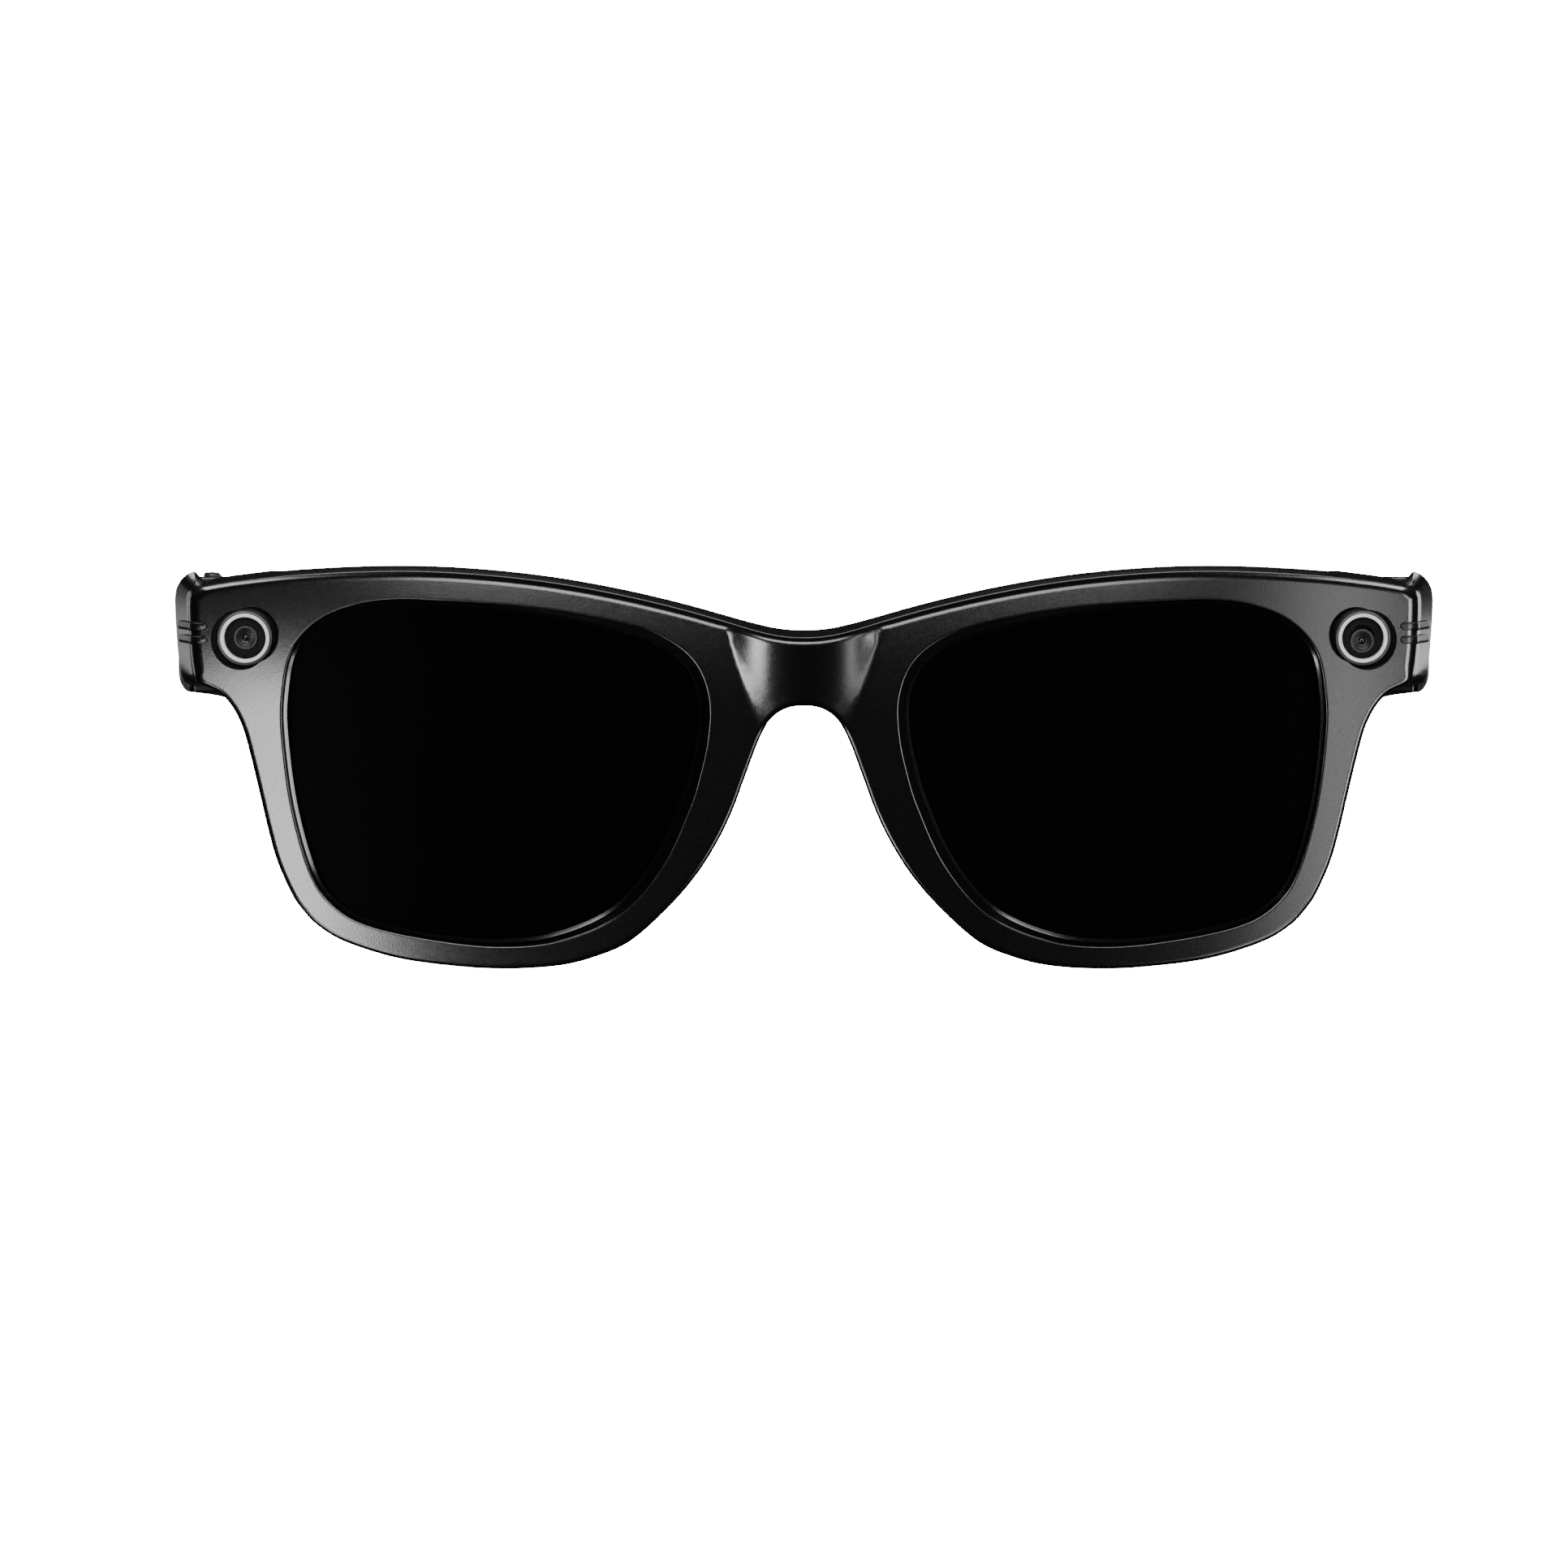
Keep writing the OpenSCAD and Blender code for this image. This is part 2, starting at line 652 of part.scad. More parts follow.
slider_at = [66.1, slider_w, slider_v];
battery_at = [69.2, 58.5, 9];
battery_size = [3.4, 32, 6.4];
protection_at = [70, 30.4, 14.2];
protection_size = [0.9, 9, 5];
module battery_cell() { color("#9aa3ad") stood() on_side(left) on_temple(battery_at) centred_box(battery_size); }
module protection_board() {
    color("darkgreen") stood() on_side(left) on_temple(protection_at) centred_box(protection_size);
}

// Recess for the knob and the slit for its stem; the switch sits behind the wall.
module slider_slot() {
    on_temple(slider_at) {
        block([-2, -slider_l / 2 - slider_side_gap, -slider_h / 2 - slider_side_gap],
              [slider_slot_d, slider_l / 2 + slider_travel + slider_side_gap, slider_h / 2 + slider_side_gap]);
        block([-2, -stem_half_l - slider_side_gap, -stem_half_h - slider_side_gap],
              [3, stem_half_l + slider_travel + slider_side_gap, stem_half_h + slider_side_gap]);
    }
}
module power_switch() {
    color("silver") stood() on_side(left) on_temple(slider_at)
        block([1.75, -3, -1.6], [3.1, 5, 1.6]);
}
module power_slider() {
    color("#3a3a3d") stood() on_side(left) on_temple(slider_at) difference() {
        union() {
            block([-slider_proud + 0.3, -slider_l / 2, -slider_h / 2],
                  [slider_slot_d - 0.1, slider_l / 2, slider_h / 2]);
            block([0, -stem_half_l, -stem_half_h], [1.6, stem_half_l, stem_half_h]);
        }
        for (i = [-1 : 1])
            translate([-slider_proud + 0.2, i * 1, 0]) cylinder(h = far, r = 0.2, center = true, $fn = 24);
    }
}

front_frame();
front_back_cover();
front_lens(right);  // lens_right
front_lens(left);  // lens_left
camera_bezel(right);  // camera_bezel_right
camera_bezel(left);  // camera_bezel_left
light_ring(right);  // light_ring_right
light_ring(left);  // light_ring_left
camera_window(right);  // camera_window_right
camera_window(left);  // camera_window_left
camera_module(right);  // camera_module_right
camera_module(left);  // camera_module_left
camera_board(right);  // camera_board_right
camera_board(left);  // camera_board_left
trim_pins(right);  // trim_pins_right
trim_pins(left);  // trim_pins_left
hinge_front_leaf(right);  // hinge_front_leaf_right
hinge_front_leaf(left);  // hinge_front_leaf_left
hinge_pin(right);  // hinge_pin_right
hinge_pin(left);  // hinge_pin_left
front_hinge_screws();
front_flex_cable();
bridge_microphone();
charge_contacts();
temple_housing(right);  // temple_housing_right
temple_housing(left);  // temple_housing_left
temple_cover(right);  // temple_cover_right
temple_cover(left);  // temple_cover_left
hinge_temple_leaf(right);  // hinge_temple_leaf_right
hinge_temple_leaf(left);  // hinge_temple_leaf_left
temple_hinge_screws(right);  // temple_hinge_screws_right
temple_hinge_screws(left);  // temple_hinge_screws_left
speaker(right);  // speaker_right
speaker(left);  // speaker_left
speaker_grille(right);  // speaker_grille_right
speaker_grille(left);  // speaker_grille_left
temple_microphone(right);  // temple_microphone_right
temple_microphone(left);  // temple_microphone_left
main_board();
shield_can();
touch_sensor();
status_light();
button_switch();
capture_button();
battery_cell();
protection_board();
power_switch();
power_slider();
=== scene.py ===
"""Looks for the smart glasses: moulded front, dark lenses, ringed cameras, trim pins, hinges and temples.

Shapes are drawn in the front's own frame, in millimetres: u across, w backwards from the middle of the face
and v up. placed() turns such points into the row frame, in metres.
"""

import json
import math

import bmesh
import bpy
import numpy as np
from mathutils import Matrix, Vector
from mathutils.geometry import delaunay_2d_cdt

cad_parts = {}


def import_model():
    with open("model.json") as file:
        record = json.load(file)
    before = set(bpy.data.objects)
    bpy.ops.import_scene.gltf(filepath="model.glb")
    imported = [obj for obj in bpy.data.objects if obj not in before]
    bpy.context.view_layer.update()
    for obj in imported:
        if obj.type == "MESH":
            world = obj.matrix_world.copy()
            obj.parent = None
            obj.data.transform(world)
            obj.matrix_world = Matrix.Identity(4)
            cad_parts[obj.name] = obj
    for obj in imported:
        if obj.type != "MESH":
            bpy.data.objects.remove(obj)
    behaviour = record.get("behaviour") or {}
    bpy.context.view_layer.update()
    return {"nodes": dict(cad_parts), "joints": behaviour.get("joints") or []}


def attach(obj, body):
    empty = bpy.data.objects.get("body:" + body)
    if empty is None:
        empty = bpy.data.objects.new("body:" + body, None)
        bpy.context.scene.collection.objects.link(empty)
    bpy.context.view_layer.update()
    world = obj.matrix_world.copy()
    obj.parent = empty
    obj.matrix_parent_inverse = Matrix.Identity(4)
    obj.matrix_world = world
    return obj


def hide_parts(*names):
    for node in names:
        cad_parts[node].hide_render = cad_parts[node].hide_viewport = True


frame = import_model()
MM = 0.001

# --- The front's own frame, found from the left hinge ---

HINGE_U, HINGE_W, HINGE_V = 65.8, 17.0, 15.4
FOLD = next(j for j in frame["joints"] if j["name"] == "left_temple_fold")
LEAN = math.atan2(-FOLD["axis"][1], FOLD["axis"][2])
COS_LEAN, SIN_LEAN = math.cos(LEAN), math.sin(LEAN)
START_Y = FOLD["pos_m"][1] - (HINGE_W * COS_LEAN - HINGE_V * SIN_LEAN) * MM
START_Z = FOLD["pos_m"][2] - (HINGE_W * SIN_LEAN + HINGE_V * COS_LEAN) * MM
RIGHT, LEFT = -1, 1
SIDE_NAME = {RIGHT: "right", LEFT: "left"}


def placed(points):
    """Points (u, w, v) in millimetres, as rows of x, y, z in metres in the row frame."""
    p = np.asarray(points, float)
    y = p[:, 1] * COS_LEAN - p[:, 2] * SIN_LEAN
    z = p[:, 1] * SIN_LEAN + p[:, 2] * COS_LEAN
    return np.stack([p[:, 0] * MM, y * MM + START_Y, z * MM + START_Z], axis=1)


# --- Curves and surfaces of the front ---

WRAP_R = 250.0
RIM_T = 5.2
BRIDGE_R = 17.0
BRIDGE_PROUD = 2.1
BRIDGE_TILT = math.radians(9)
BRIDGE_TOP_V = 16.0
CREASE_SOFTNESS = 0.4
CROWN_START_V = 6.0
CROWN_R = 110.0
CLEAR_BEHIND = 9
ENDPIECE_BACK = 16.95
ENDPIECE_STARTS_U = (62.3, 64.2)
ENDPIECE_STARTS_V = (6.6, 8.8)


def smoothstep(low, high, x):
    t = np.clip((np.asarray(x, float) - low) / (high - low), 0, 1)
    return t * t * (3 - 2 * t)


def mix(a, b, t):
    return a + (b - a) * t


def behind(u, depth):
    """How far back the wrapped surface at a depth behind the face is at u."""
    return WRAP_R - np.sqrt((WRAP_R - depth) ** 2 - np.asarray(u, float) ** 2)


def crown(v):
    """How far the face leans back towards its top edge."""
    return np.maximum(np.asarray(v, float) - CROWN_START_V, 0) ** 2 / (2 * CROWN_R)


def ridge_axis_w(v):
    """How far back the axis of the bridge's ridge is."""
    return BRIDGE_R - BRIDGE_PROUD + (BRIDGE_TOP_V - v) * math.tan(BRIDGE_TILT)


def face_w(u, v):
    """The face: a wrapped sheet, crowned along the top, with a round ridge across the bridge."""
    sheet = behind(u, 0) + crown(v)
    chord = np.sqrt(np.maximum(BRIDGE_R ** 2 - u ** 2, 0))
    ridge = ridge_axis_w(v) + crown(v) - chord / math.cos(BRIDGE_TILT)
    ridge = np.where(np.abs(u) < BRIDGE_R - 1, ridge, sheet + CLEAR_BEHIND)
    gap = np.maximum(CREASE_SOFTNESS - np.abs(sheet - ridge), 0) / CREASE_SOFTNESS
    return np.minimum(sheet, ridge) - gap ** 2 * CREASE_SOFTNESS / 4


# The built-in nose pads: a hump along each nose side of the rims.
PAD_MIDDLE = np.array([10.4, -4.2])
PAD_ALONG = np.array([0.45, -0.893])
PAD_HALF = 9.0
PAD_RISE = 4.4
PAD_FADES = (-0.6, 3.0)


def pad_height(u, v):
    au = np.abs(u)
    du, dv = au - PAD_MIDDLE[0], v - PAD_MIDDLE[1]
    along = du * PAD_ALONG[0] + dv * PAD_ALONG[1]
    across = -du * PAD_ALONG[1] + dv * PAD_ALONG[0]
    length_part = np.maximum(1 - (along / PAD_HALF) ** 2, 0) ** 1.5
    return PAD_RISE * length_part * (1 - smoothstep(*PAD_FADES, across))


def endpiece_share(u, v):
    return smoothstep(*ENDPIECE_STARTS_U, np.abs(u)) * smoothstep(*ENDPIECE_STARTS_V, v)


def back_w(u, v):
    rim = behind(u, RIM_T) + pad_height(u, v)
    return mix(rim, ENDPIECE_BACK, endpiece_share(u, v))


def curve_point(a, b, c, d, t):
    """The point at share t from b to c, on a smooth curve through a, b, c and d."""
    square = 2 * a - 5 * b + 4 * c - d
    cube = 3 * b - a - 3 * c + d
    return (2 * b + (c - a) * t + square * t ** 2 + cube * t ** 3) / 2


def smooth_loop(points, step):
    """Closed smooth loop through the points, with a vertex about every step."""
    p = np.asarray(points, float)
    out = []
    for i in range(len(p)):
        a, b, c, d = (p[(i + k) % len(p)] for k in (-1, 0, 1, 2))
        n = max(2, int(math.ceil(np.linalg.norm(c - b) / step)))
        out += [curve_point(a, b, c, d, k / n) for k in range(n)]
    return np.array(out)


def smooth_line(points, n):
    """Open smooth line through the points, with n pieces to a span."""
    p = np.asarray(points, float)
    last = len(p) - 1
    out = [curve_point(p[max(i - 1, 0)], p[i], p[i + 1], p[min(i + 2, last)], k / n)
           for i in range(last) for k in range(n)]
    return np.array(out + [p[last]])


def outward(loop, clockwise=False):
    """Unit normals that point out of a closed loop."""
    d = np.roll(loop, -1, 0) - np.roll(loop, 1, 0)
    n = np.stack([d[:, 1], -d[:, 0]], 1) * (-1 if clockwise else 1)
    return n / np.linalg.norm(n, axis=1)[:, None]


SHRINK_PIECES = 6
SHRINK_SLIDE = 0.35


def shrunk_steps(loop, amounts, clockwise):
    """The loop moved inwards by each row of amounts in turn, with its points kept apart."""
    rings, now, done = [], loop.copy(), np.zeros(len(loop))
    for target in amounts:
        for _ in range(SHRINK_PIECES):
            n = outward(now, clockwise)
            now = now - n * ((target - done) / SHRINK_PIECES)[:, None]
            middle = (np.roll(now, 1, 0) + np.roll(now, -1, 0)) / 2
            slide = middle - now
            slide -= n * np.sum(slide * n, 1)[:, None]
            now = now + SHRINK_SLIDE * slide
        done = target
        rings.append(now.copy())
    return rings


# Half outline of the front where its edge rounding ends, from the bridge's top round to the nose arch.
HALF_OUTLINE = [
    (0, 16.2), (3, 16.4), (6.8, 17.25), (14.4, 19.35), (22.1, 21.1), (29.8, 22.4), (37.5, 23.2),
    (45.3, 23.55), (53, 23.4), (61, 22.85), (67, 22.15), (70.2, 21.65), (72.1, 21.25), (72.9, 20.95),
    (73.4, 20.5), (73.6, 19.8), (73.6, 18), (73.5, 15.8), (73.35, 13.5), (73.1, 11.6), (72.8, 10.5),
    (72.2, 9.85), (71.2, 9.45), (70.1, 9.0), (69.2, 8.4), (68.35, 7.45), (67.6, 6.3), (66.7, 4.2),
    (65.7, 0.4), (64.8, -3.4), (63.9, -7.3), (62.8, -11.2), (61.1, -15), (59.8, -16.9), (57.9, -18.8),
    (54.6, -20.65), (48.5, -22.4), (41.9, -23.2), (35.6, -23.44), (29.4, -23), (25, -21.95),
    (20.6, -20), (16.2, -16.1), (12.8, -12.2), (10.3, -8.3), (8.45, -4.5), (7, -0.6), (5.6, 3.2),
    (4.75, 5.1), (3.95, 6.4), (2.8, 7.4), (1.5, 7.95), (0, 8.1),
]
LENS_POINTS = [
    (13.5, 0.2), (14.7, -3.6), (17.8, -10.3), (22.6, -15.9), (29.2, -19), (36, -20),
    (43.3, -19.6), (51, -18.2), (55.2, -16.2), (58, -12.6), (60.3, -4.7), (61.4, 4),
    (61.3, 9), (60.2, 13.8), (57, 17.2), (52.5, 19), (48, 19.6), (43, 19.5),
    (36, 19), (29.3, 18.1), (22.2, 16.6), (17.8, 15.2), (14.1, 12.6), (12.5, 8.8), (12.6, 4.4),
]
OUTLINE_STEP = 0.7
LENS_STEP = 0.8


def mirrored_loop(half):
    half = [tuple(p) for p in half]
    return half + [(-u, v) for u, v in half[-2:0:-1]]


# --- Meshes ---


def make_piece(name, shape, material, body, replaces=(), sharp=40, cutters=(), second=None):
    """A piece on a body, with the cutters cut out of it. second is (material, from face) for later faces."""
    mesh = bpy.data.meshes.new(name)
    faces = [tuple(int(i) for i in face) for face in shape.faces]
    mesh.from_pydata([tuple(p) for p in placed(shape.points)], [], faces)
    piece = bpy.data.objects.new(name, mesh)
    bpy.context.scene.collection.objects.link(piece)
    mesh.materials.append(material)
    if second:
        mesh.materials.append(second[0])
        for polygon in mesh.polygons[second[1]:]:
            polygon.material_index = 1
    outside_normals(mesh)
    for cutter in cutters:
        carve(piece, cutter)
    mesh = piece.data
    mesh.polygons.foreach_set("use_smooth", [True] * len(mesh.polygons))
    mark_sharp(mesh, math.radians(sharp))
    even = piece.modifiers.new("even_shading", "WEIGHTED_NORMAL")
    even.keep_sharp = True
    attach(piece, body)
    if replaces:
        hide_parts(*replaces)
    return piece


def carve(piece, cutter):
    """Cuts a closed shape out of a piece for good."""
    mesh = bpy.data.meshes.new("cutter")
    mesh.from_pydata([tuple(p) for p in placed(cutter.points)], [], cutter.faces)
    outside_normals(mesh)
    tool = bpy.data.objects.new("cutter", mesh)
    bpy.context.scene.collection.objects.link(tool)
    cut = piece.modifiers.new("cut", "BOOLEAN")
    cut.operation, cut.solver, cut.object = "DIFFERENCE", "EXACT", tool
    graph = bpy.context.evaluated_depsgraph_get()
    whole = piece.data
    done = bpy.data.meshes.new_from_object(piece.evaluated_get(graph))
    piece.modifiers.clear()
    piece.data = done
    bpy.data.meshes.remove(whole)
    bpy.data.objects.remove(tool)


def outside_normals(mesh):
    bm = bmesh.new()
    bm.from_mesh(mesh)
    bmesh.ops.recalc_face_normals(bm, faces=bm.faces)
    bm.to_mesh(mesh)
    bm.free()


def mark_sharp(mesh, angle):
    bm = bmesh.new()
    bm.from_mesh(mesh)
    for edge in bm.edges:
        edge.smooth = len(edge.link_faces) != 2 or edge.calc_face_angle(0) < angle
    bm.to_mesh(mesh)
    bm.free()


class Shape:
    """Points and faces gathered ring by ring."""

    def __init__(self):
        self.points, self.faces = [], []

    def ring(self, points):
        start = len(self.points)
        self.points += [tuple(p) for p in points]
        return list(range(start, len(self.points)))

    def bridge(self, a, b):
        """Faces between two closed rings."""
        for i in range(len(a)):
            j = (i + 1) % len(a)
            self.faces.append((a[i], a[j], b[j], b[i]))

    def rings(self, loops):
        made = [self.ring(loop) for loop in loops]
        for a, b in zip(made, made[1:]):
            self.bridge(a, b)
        return made

    def cap(self, ring):
        self.faces.append(tuple(ring))

    def fan(self, ring, tip):
        middle = self.ring([tip])[0]
        for i in range(len(ring)):
            self.faces.append((ring[i], ring[(i + 1) % len(ring)], middle))

    def closed_loft(self, loops):
        made = self.rings(loops)
        self.cap(made[0])
        self.cap(made[-1])
        return self

    def turned_in(self, loops):
        """Rings joined one after the other and the last one to the first."""
        made = self.rings(loops)
        self.bridge(made[-1], made[0])
        return self

    def prism(self, outline, way, low, high):
        """An outline pushed along one of the axes u, w and v (0, 1 and 2)."""
        return self.closed_loft([[tuple(np.insert(p, way, at)) for p in outline] for at in (low, high)])


def circle(middle, r, n=48):
    turns = [2 * math.pi * k / n for k in range(n)]
    return [(middle[0] + r * math.cos(a), middle[1] + r * math.sin(a)) for a in turns]


def box_corners(x0, x1, y0, y1):
    return [(x0, y0), (x1, y0), (x1, y1), (x0, y1)]


TEMPLE_SLOPE = 11.3
TEMPLE_SWEEP = 0.9


def on_temple(points, at, side, slope=TEMPLE_SLOPE):
    """Points in a frame on a temple (y along it, z up from its top), as u, w and v."""
    a, t = math.radians(slope), math.radians(TEMPLE_SWEEP)
    out = []
    for x, y, z in points:
        along, up = y * math.cos(a) + z * math.sin(a), z * math.cos(a) - y * math.sin(a)
        out.append((side * (at[0] + x * math.cos(t) - along * math.sin(t)),
                    at[1] + x * math.sin(t) + along * math.cos(t), at[2] + up))
    return out


def inside(points, loop):
    """Which of the points lie inside a closed loop."""
    x, y = points[:, 0][:, None], points[:, 1][:, None]
    a, b = loop, np.roll(loop, -1, 0)
    crosses = (a[:, 1] > y) != (b[:, 1] > y)
    with np.errstate(divide="ignore", invalid="ignore"):
        at = (b[:, 0] - a[:, 0]) * (y - a[:, 1]) / (b[:, 1] - a[:, 1]) + a[:, 0]
    return (np.sum(crosses & (x < at), axis=1) % 2) == 1


def nearest(points, loop):
    out = np.full(len(points), 1e9)
    for start in range(0, len(loop), 64):
        part = loop[start:start + 64]
        d = np.linalg.norm(points[:, None, :] - part[None, :, :], axis=2).min(1)
        out = np.minimum(out, d)
    return out


ROW_SHARE = 0.87
EDGE_CLEAR_SHARE = 0.45
EXTRA_CLEAR = 0.35


def fill_sheet(shape, outer, holes, depth, spacing, extra=()):
    """Fills the region between an outer ring and its holes, with staggered rows of points and extra points.
    Each ring is (indices, loop of u and v)."""
    rings = [outer] + list(holes)
    flat = np.concatenate([loop for _, loop in rings])
    index = [i for ids, _ in rings for i in ids]
    edges, start = [], 0
    for _, loop in rings:
        n = len(loop)
        edges += [(start + k, start + (k + 1) % n) for k in range(n)]
        start += n
    low, high = outer[1].min(0), outer[1].max(0)
    us = np.arange(low[0], high[0], spacing)
    vs = np.arange(low[1], high[1], spacing * ROW_SHARE)
    grid = np.array([(u + (k % 2) * spacing / 2, v) for k, v in enumerate(vs) for u in us])
    if len(extra):
        extra = np.array(extra)
        grid = np.concatenate([grid[nearest(grid, extra) > EXTRA_CLEAR], extra])
    keep = inside(grid, outer[1])
    for _, loop in holes:
        keep &= ~inside(grid, loop)
    grid = grid[keep]
    grid = grid[nearest(grid, flat) > spacing * EDGE_CLEAR_SHARE]
    everything = np.concatenate([flat, grid])
    flat_points = [Vector(p) for p in everything]
    got, _, tris, origin, _, _ = delaunay_2d_cdt(flat_points, edges, [], 0, 1e-6, True)
    got = np.array([(p.x, p.y) for p in got])
    own = {}
    for k, came in enumerate(origin):
        old = [c for c in came if c < len(flat)]
        if old:
            own[k] = index[old[0]]
    fresh = [k for k in range(len(got)) if k not in own]
    made = shape.ring([(got[k][0], float(depth(got[k][0], got[k][1])), got[k][1]) for k in fresh])
    own.update(dict(zip(fresh, made)))
    middles = np.array([got[list(t)].mean(0) for t in tris])
    good = inside(middles, outer[1])
    for _, loop in holes:
        good &= ~inside(middles, loop)
    shape.faces += [tuple(own[i] for i in t) for t, g in zip(tris, good) if g]


# --- Materials ---


def new_material(name):
    m = bpy.data.materials.new(name)
    m.use_nodes = True
    return m, m.node_tree, m.node_tree.nodes["Principled BSDF"]


def add_node(tree, kind, **values):
    n = tree.nodes.new(kind)
    for key, value in values.items():
        if key in n.inputs:
            n.inputs[key].default_value = value
        else:
            setattr(n, key, value)
    return n


def place_noise(tree, scale, detail=3.0, rough=0.6):
    coords = add_node(tree, "ShaderNodeTexCoord")
    noise = add_node(tree, "ShaderNodeTexNoise", Scale=scale, Detail=detail, Roughness=rough)
    tree.links.new(coords.outputs["Object"], noise.inputs["Vector"])
    return noise


def ramp(tree, source, low, high, a, b):
    n = add_node(tree, "ShaderNodeMapRange")
    for key, value in (("From Min", low), ("From Max", high), ("To Min", a), ("To Max", b)):
        n.inputs[key].default_value = value
    tree.links.new(source, n.inputs["Value"])
    return n.outputs["Result"]


def bumped(tree, shader, source, strength, distance):
    bump = add_node(tree, "ShaderNodeBump", Strength=strength, Distance=distance)
    tree.links.new(source, bump.inputs["Height"])
    tree.links.new(bump.outputs["Normal"], shader.inputs["Normal"])


def tinted(tree, shader, source, colour, spread):
    """A base colour that the source makes a share darker or lighter."""
    tint = add_node(tree, "ShaderNodeMix", data_type="RGBA")
    for socket, share in ((6, 1 - spread), (7, 1 + spread)):
        tint.inputs[socket].default_value = (*[min(c * share, 1) for c in colour], 1)
    tree.links.new(source, tint.inputs[0])
    tree.links.new(tint.outputs[2], shader.inputs["Base Color"])


def roughened(tree, shader, source, low, high):
    """A roughness from low to high, led by the middle part of a noise."""
    tree.links.new(ramp(tree, source, 0.3, 0.7, low, high), shader.inputs["Roughness"])


GRAIN_HEIGHT = 0.00006
SCRATCH_HEIGHT = 0.00003


def moulded(name, colour, rough, rough_spread, grain, grain_scale, specular=0.5):
    """Moulded plastic: a fine grain in the bump and the roughness, and a slow change of colour."""
    m, tree, shader = new_material(name)
    slow = place_noise(tree, 60, 2)
    fine = place_noise(tree, grain_scale, 2, 0.7)
    tinted(tree, shader, slow.outputs["Fac"], colour, 0.15)
    roughened(tree, shader, fine.outputs["Fac"], rough - rough_spread, rough + rough_spread)
    shader.inputs["Specular IOR Level"].default_value = specular
    bumped(tree, shader, fine.outputs["Fac"], grain, GRAIN_HEIGHT)
    return m


def metal(name, colour, rough, scratch=0.15, scale=900, metallic=1.0):
    """Metal with a fine grain in its colour, roughness and bump."""
    m, tree, shader = new_material(name)
    fine = place_noise(tree, scale, 3)
    tinted(tree, shader, fine.outputs["Fac"], colour, 0.2)
    roughened(tree, shader, fine.outputs["Fac"], rough * 0.7, rough * 1.3)
    shader.inputs["Metallic"].default_value = metallic
    bumped(tree, shader, fine.outputs["Fac"], scratch, SCRATCH_HEIGHT)
    return m


def tinted_glass(name, colour, alpha, rough, specular=0.5):
    """Glass that lets a share of what is behind it through, with a faint coating haze."""
    m, tree, shader = new_material(name)
    haze = place_noise(tree, 35, 2)
    roughened(tree, shader, haze.outputs["Fac"], rough * 0.8, rough * 1.2)
    tinted(tree, shader, haze.outputs["Fac"], colour, 0.1)
    shader.inputs["Alpha"].default_value = alpha
    shader.inputs["Specular IOR Level"].default_value = specular
    return m


FRONT_PLASTIC = moulded("front_plastic", (0.0016, 0.0016, 0.0017), 0.19, 0.03, 0.1, 5200, 1.0)
TEMPLE_PLASTIC = moulded("temple_plastic", (0.004, 0.004, 0.0042), 0.34, 0.05, 0.12, 5200, 1.0)
COVER_PLASTIC = moulded("cover_plastic", (0.005, 0.005, 0.0052), 0.34, 0.05, 0.12, 5200, 1.0)
BUTTON_PLASTIC = moulded("button_plastic", (0.024, 0.024, 0.025), 0.35, 0.04, 0.3, 4200)
PIN_BLACK = moulded("pin_black", (0.003, 0.003, 0.003), 0.25, 0.04, 0.05, 4200, 0.5)
# Matte black for the camera mask, and painted shade for the trim pins: the thin dark strip round each pin
# stands in for the shade in a groove.
BLACK_MASK_AND_GROOVE_SHADE = moulded("black_mask_and_groove_shade", (0.004, 0.004, 0.004), 0.6, 0.05, 0.1, 4200, 0.2)
CAMERA_BLACK = moulded("camera_black", (0.006, 0.006, 0.006), 0.5, 0.05, 0.1, 4200, 0.3)
RING_WHITE = moulded("ring_white", (0.75, 0.75, 0.75), 0.45, 0.05, 0.1, 3000)
BEZEL_METAL = metal("bezel_metal", (0.07, 0.07, 0.072), 0.38, 0.2, 1500, 0.5)
BARREL_BLACK = moulded("barrel_black", (0.014, 0.014, 0.015), 0.3, 0.05, 0.1, 3000)
RIM_GREY = moulded("rim_grey", (0.07, 0.07, 0.072), 0.4, 0.05, 0.1, 3000)
EYE_GLASS = moulded("eye_glass", (0.004, 0.004, 0.005), 0.06, 0.01, 0.02, 2000, 1.0)
STEEL = metal("steel", (0.42, 0.42, 0.43), 0.35)
BRASS = metal("brass", (0.8, 0.6, 0.25), 0.25)
GRILLE = metal("grille", (0.05, 0.05, 0.052), 0.5)
BOARD_GREEN = moulded("board_green", (0.02, 0.09, 0.03), 0.4, 0.05, 0.2, 900)
FLEX_AMBER = moulded("flex_amber", (0.45, 0.22, 0.05), 0.3, 0.04, 0.1, 900)
FOIL = metal("foil", (0.6, 0.62, 0.65), 0.4, 0.3, 400)
LENS_DARK = tinted_glass("lens_dark", (0.0012, 0.0012, 0.0012), 0.9994, 0.25, 0.004)
CAMERA_GLASS = tinted_glass("camera_glass", (0.01, 0.01, 0.012), 0.12, 0.03)

# --- The front ---

CAMERA_U, CAMERA_V = 66.4, 15.4
RELIEF_R = 1.75
LEAF_SEAT_W = HINGE_W - 1.25
LEAF_END_U = 73.03
LEAF_LOW, LEAF_HIGH = HINGE_V - 4.53, HINGE_V + 4.53
TEMPLE_SEAT_W = HINGE_W + 1.33
SEAT_PAST = 2
RELIEF_SPARE = 0.1
MICROPHONE_V, PORT_R = 10.2, 0.4
PORT_FROM_W, PORT_TO_W = 2.9, 12
POCKETS = [((0.68, -0.28), 3.46), ((-0.82, 0.34), 3.22)]
POCKET_POINTS = 120
POCKET_DEEP = 1.5
POCKET_EDGE = 0.1
BORE_R = 3.28
WELL_R = 3.5
BEZEL_W = float(behind(CAMERA_U, 0)) - 0.25
WELL_STEP_W, WELL_FLOOR_W = BEZEL_W + 2.45, BEZEL_W + 6
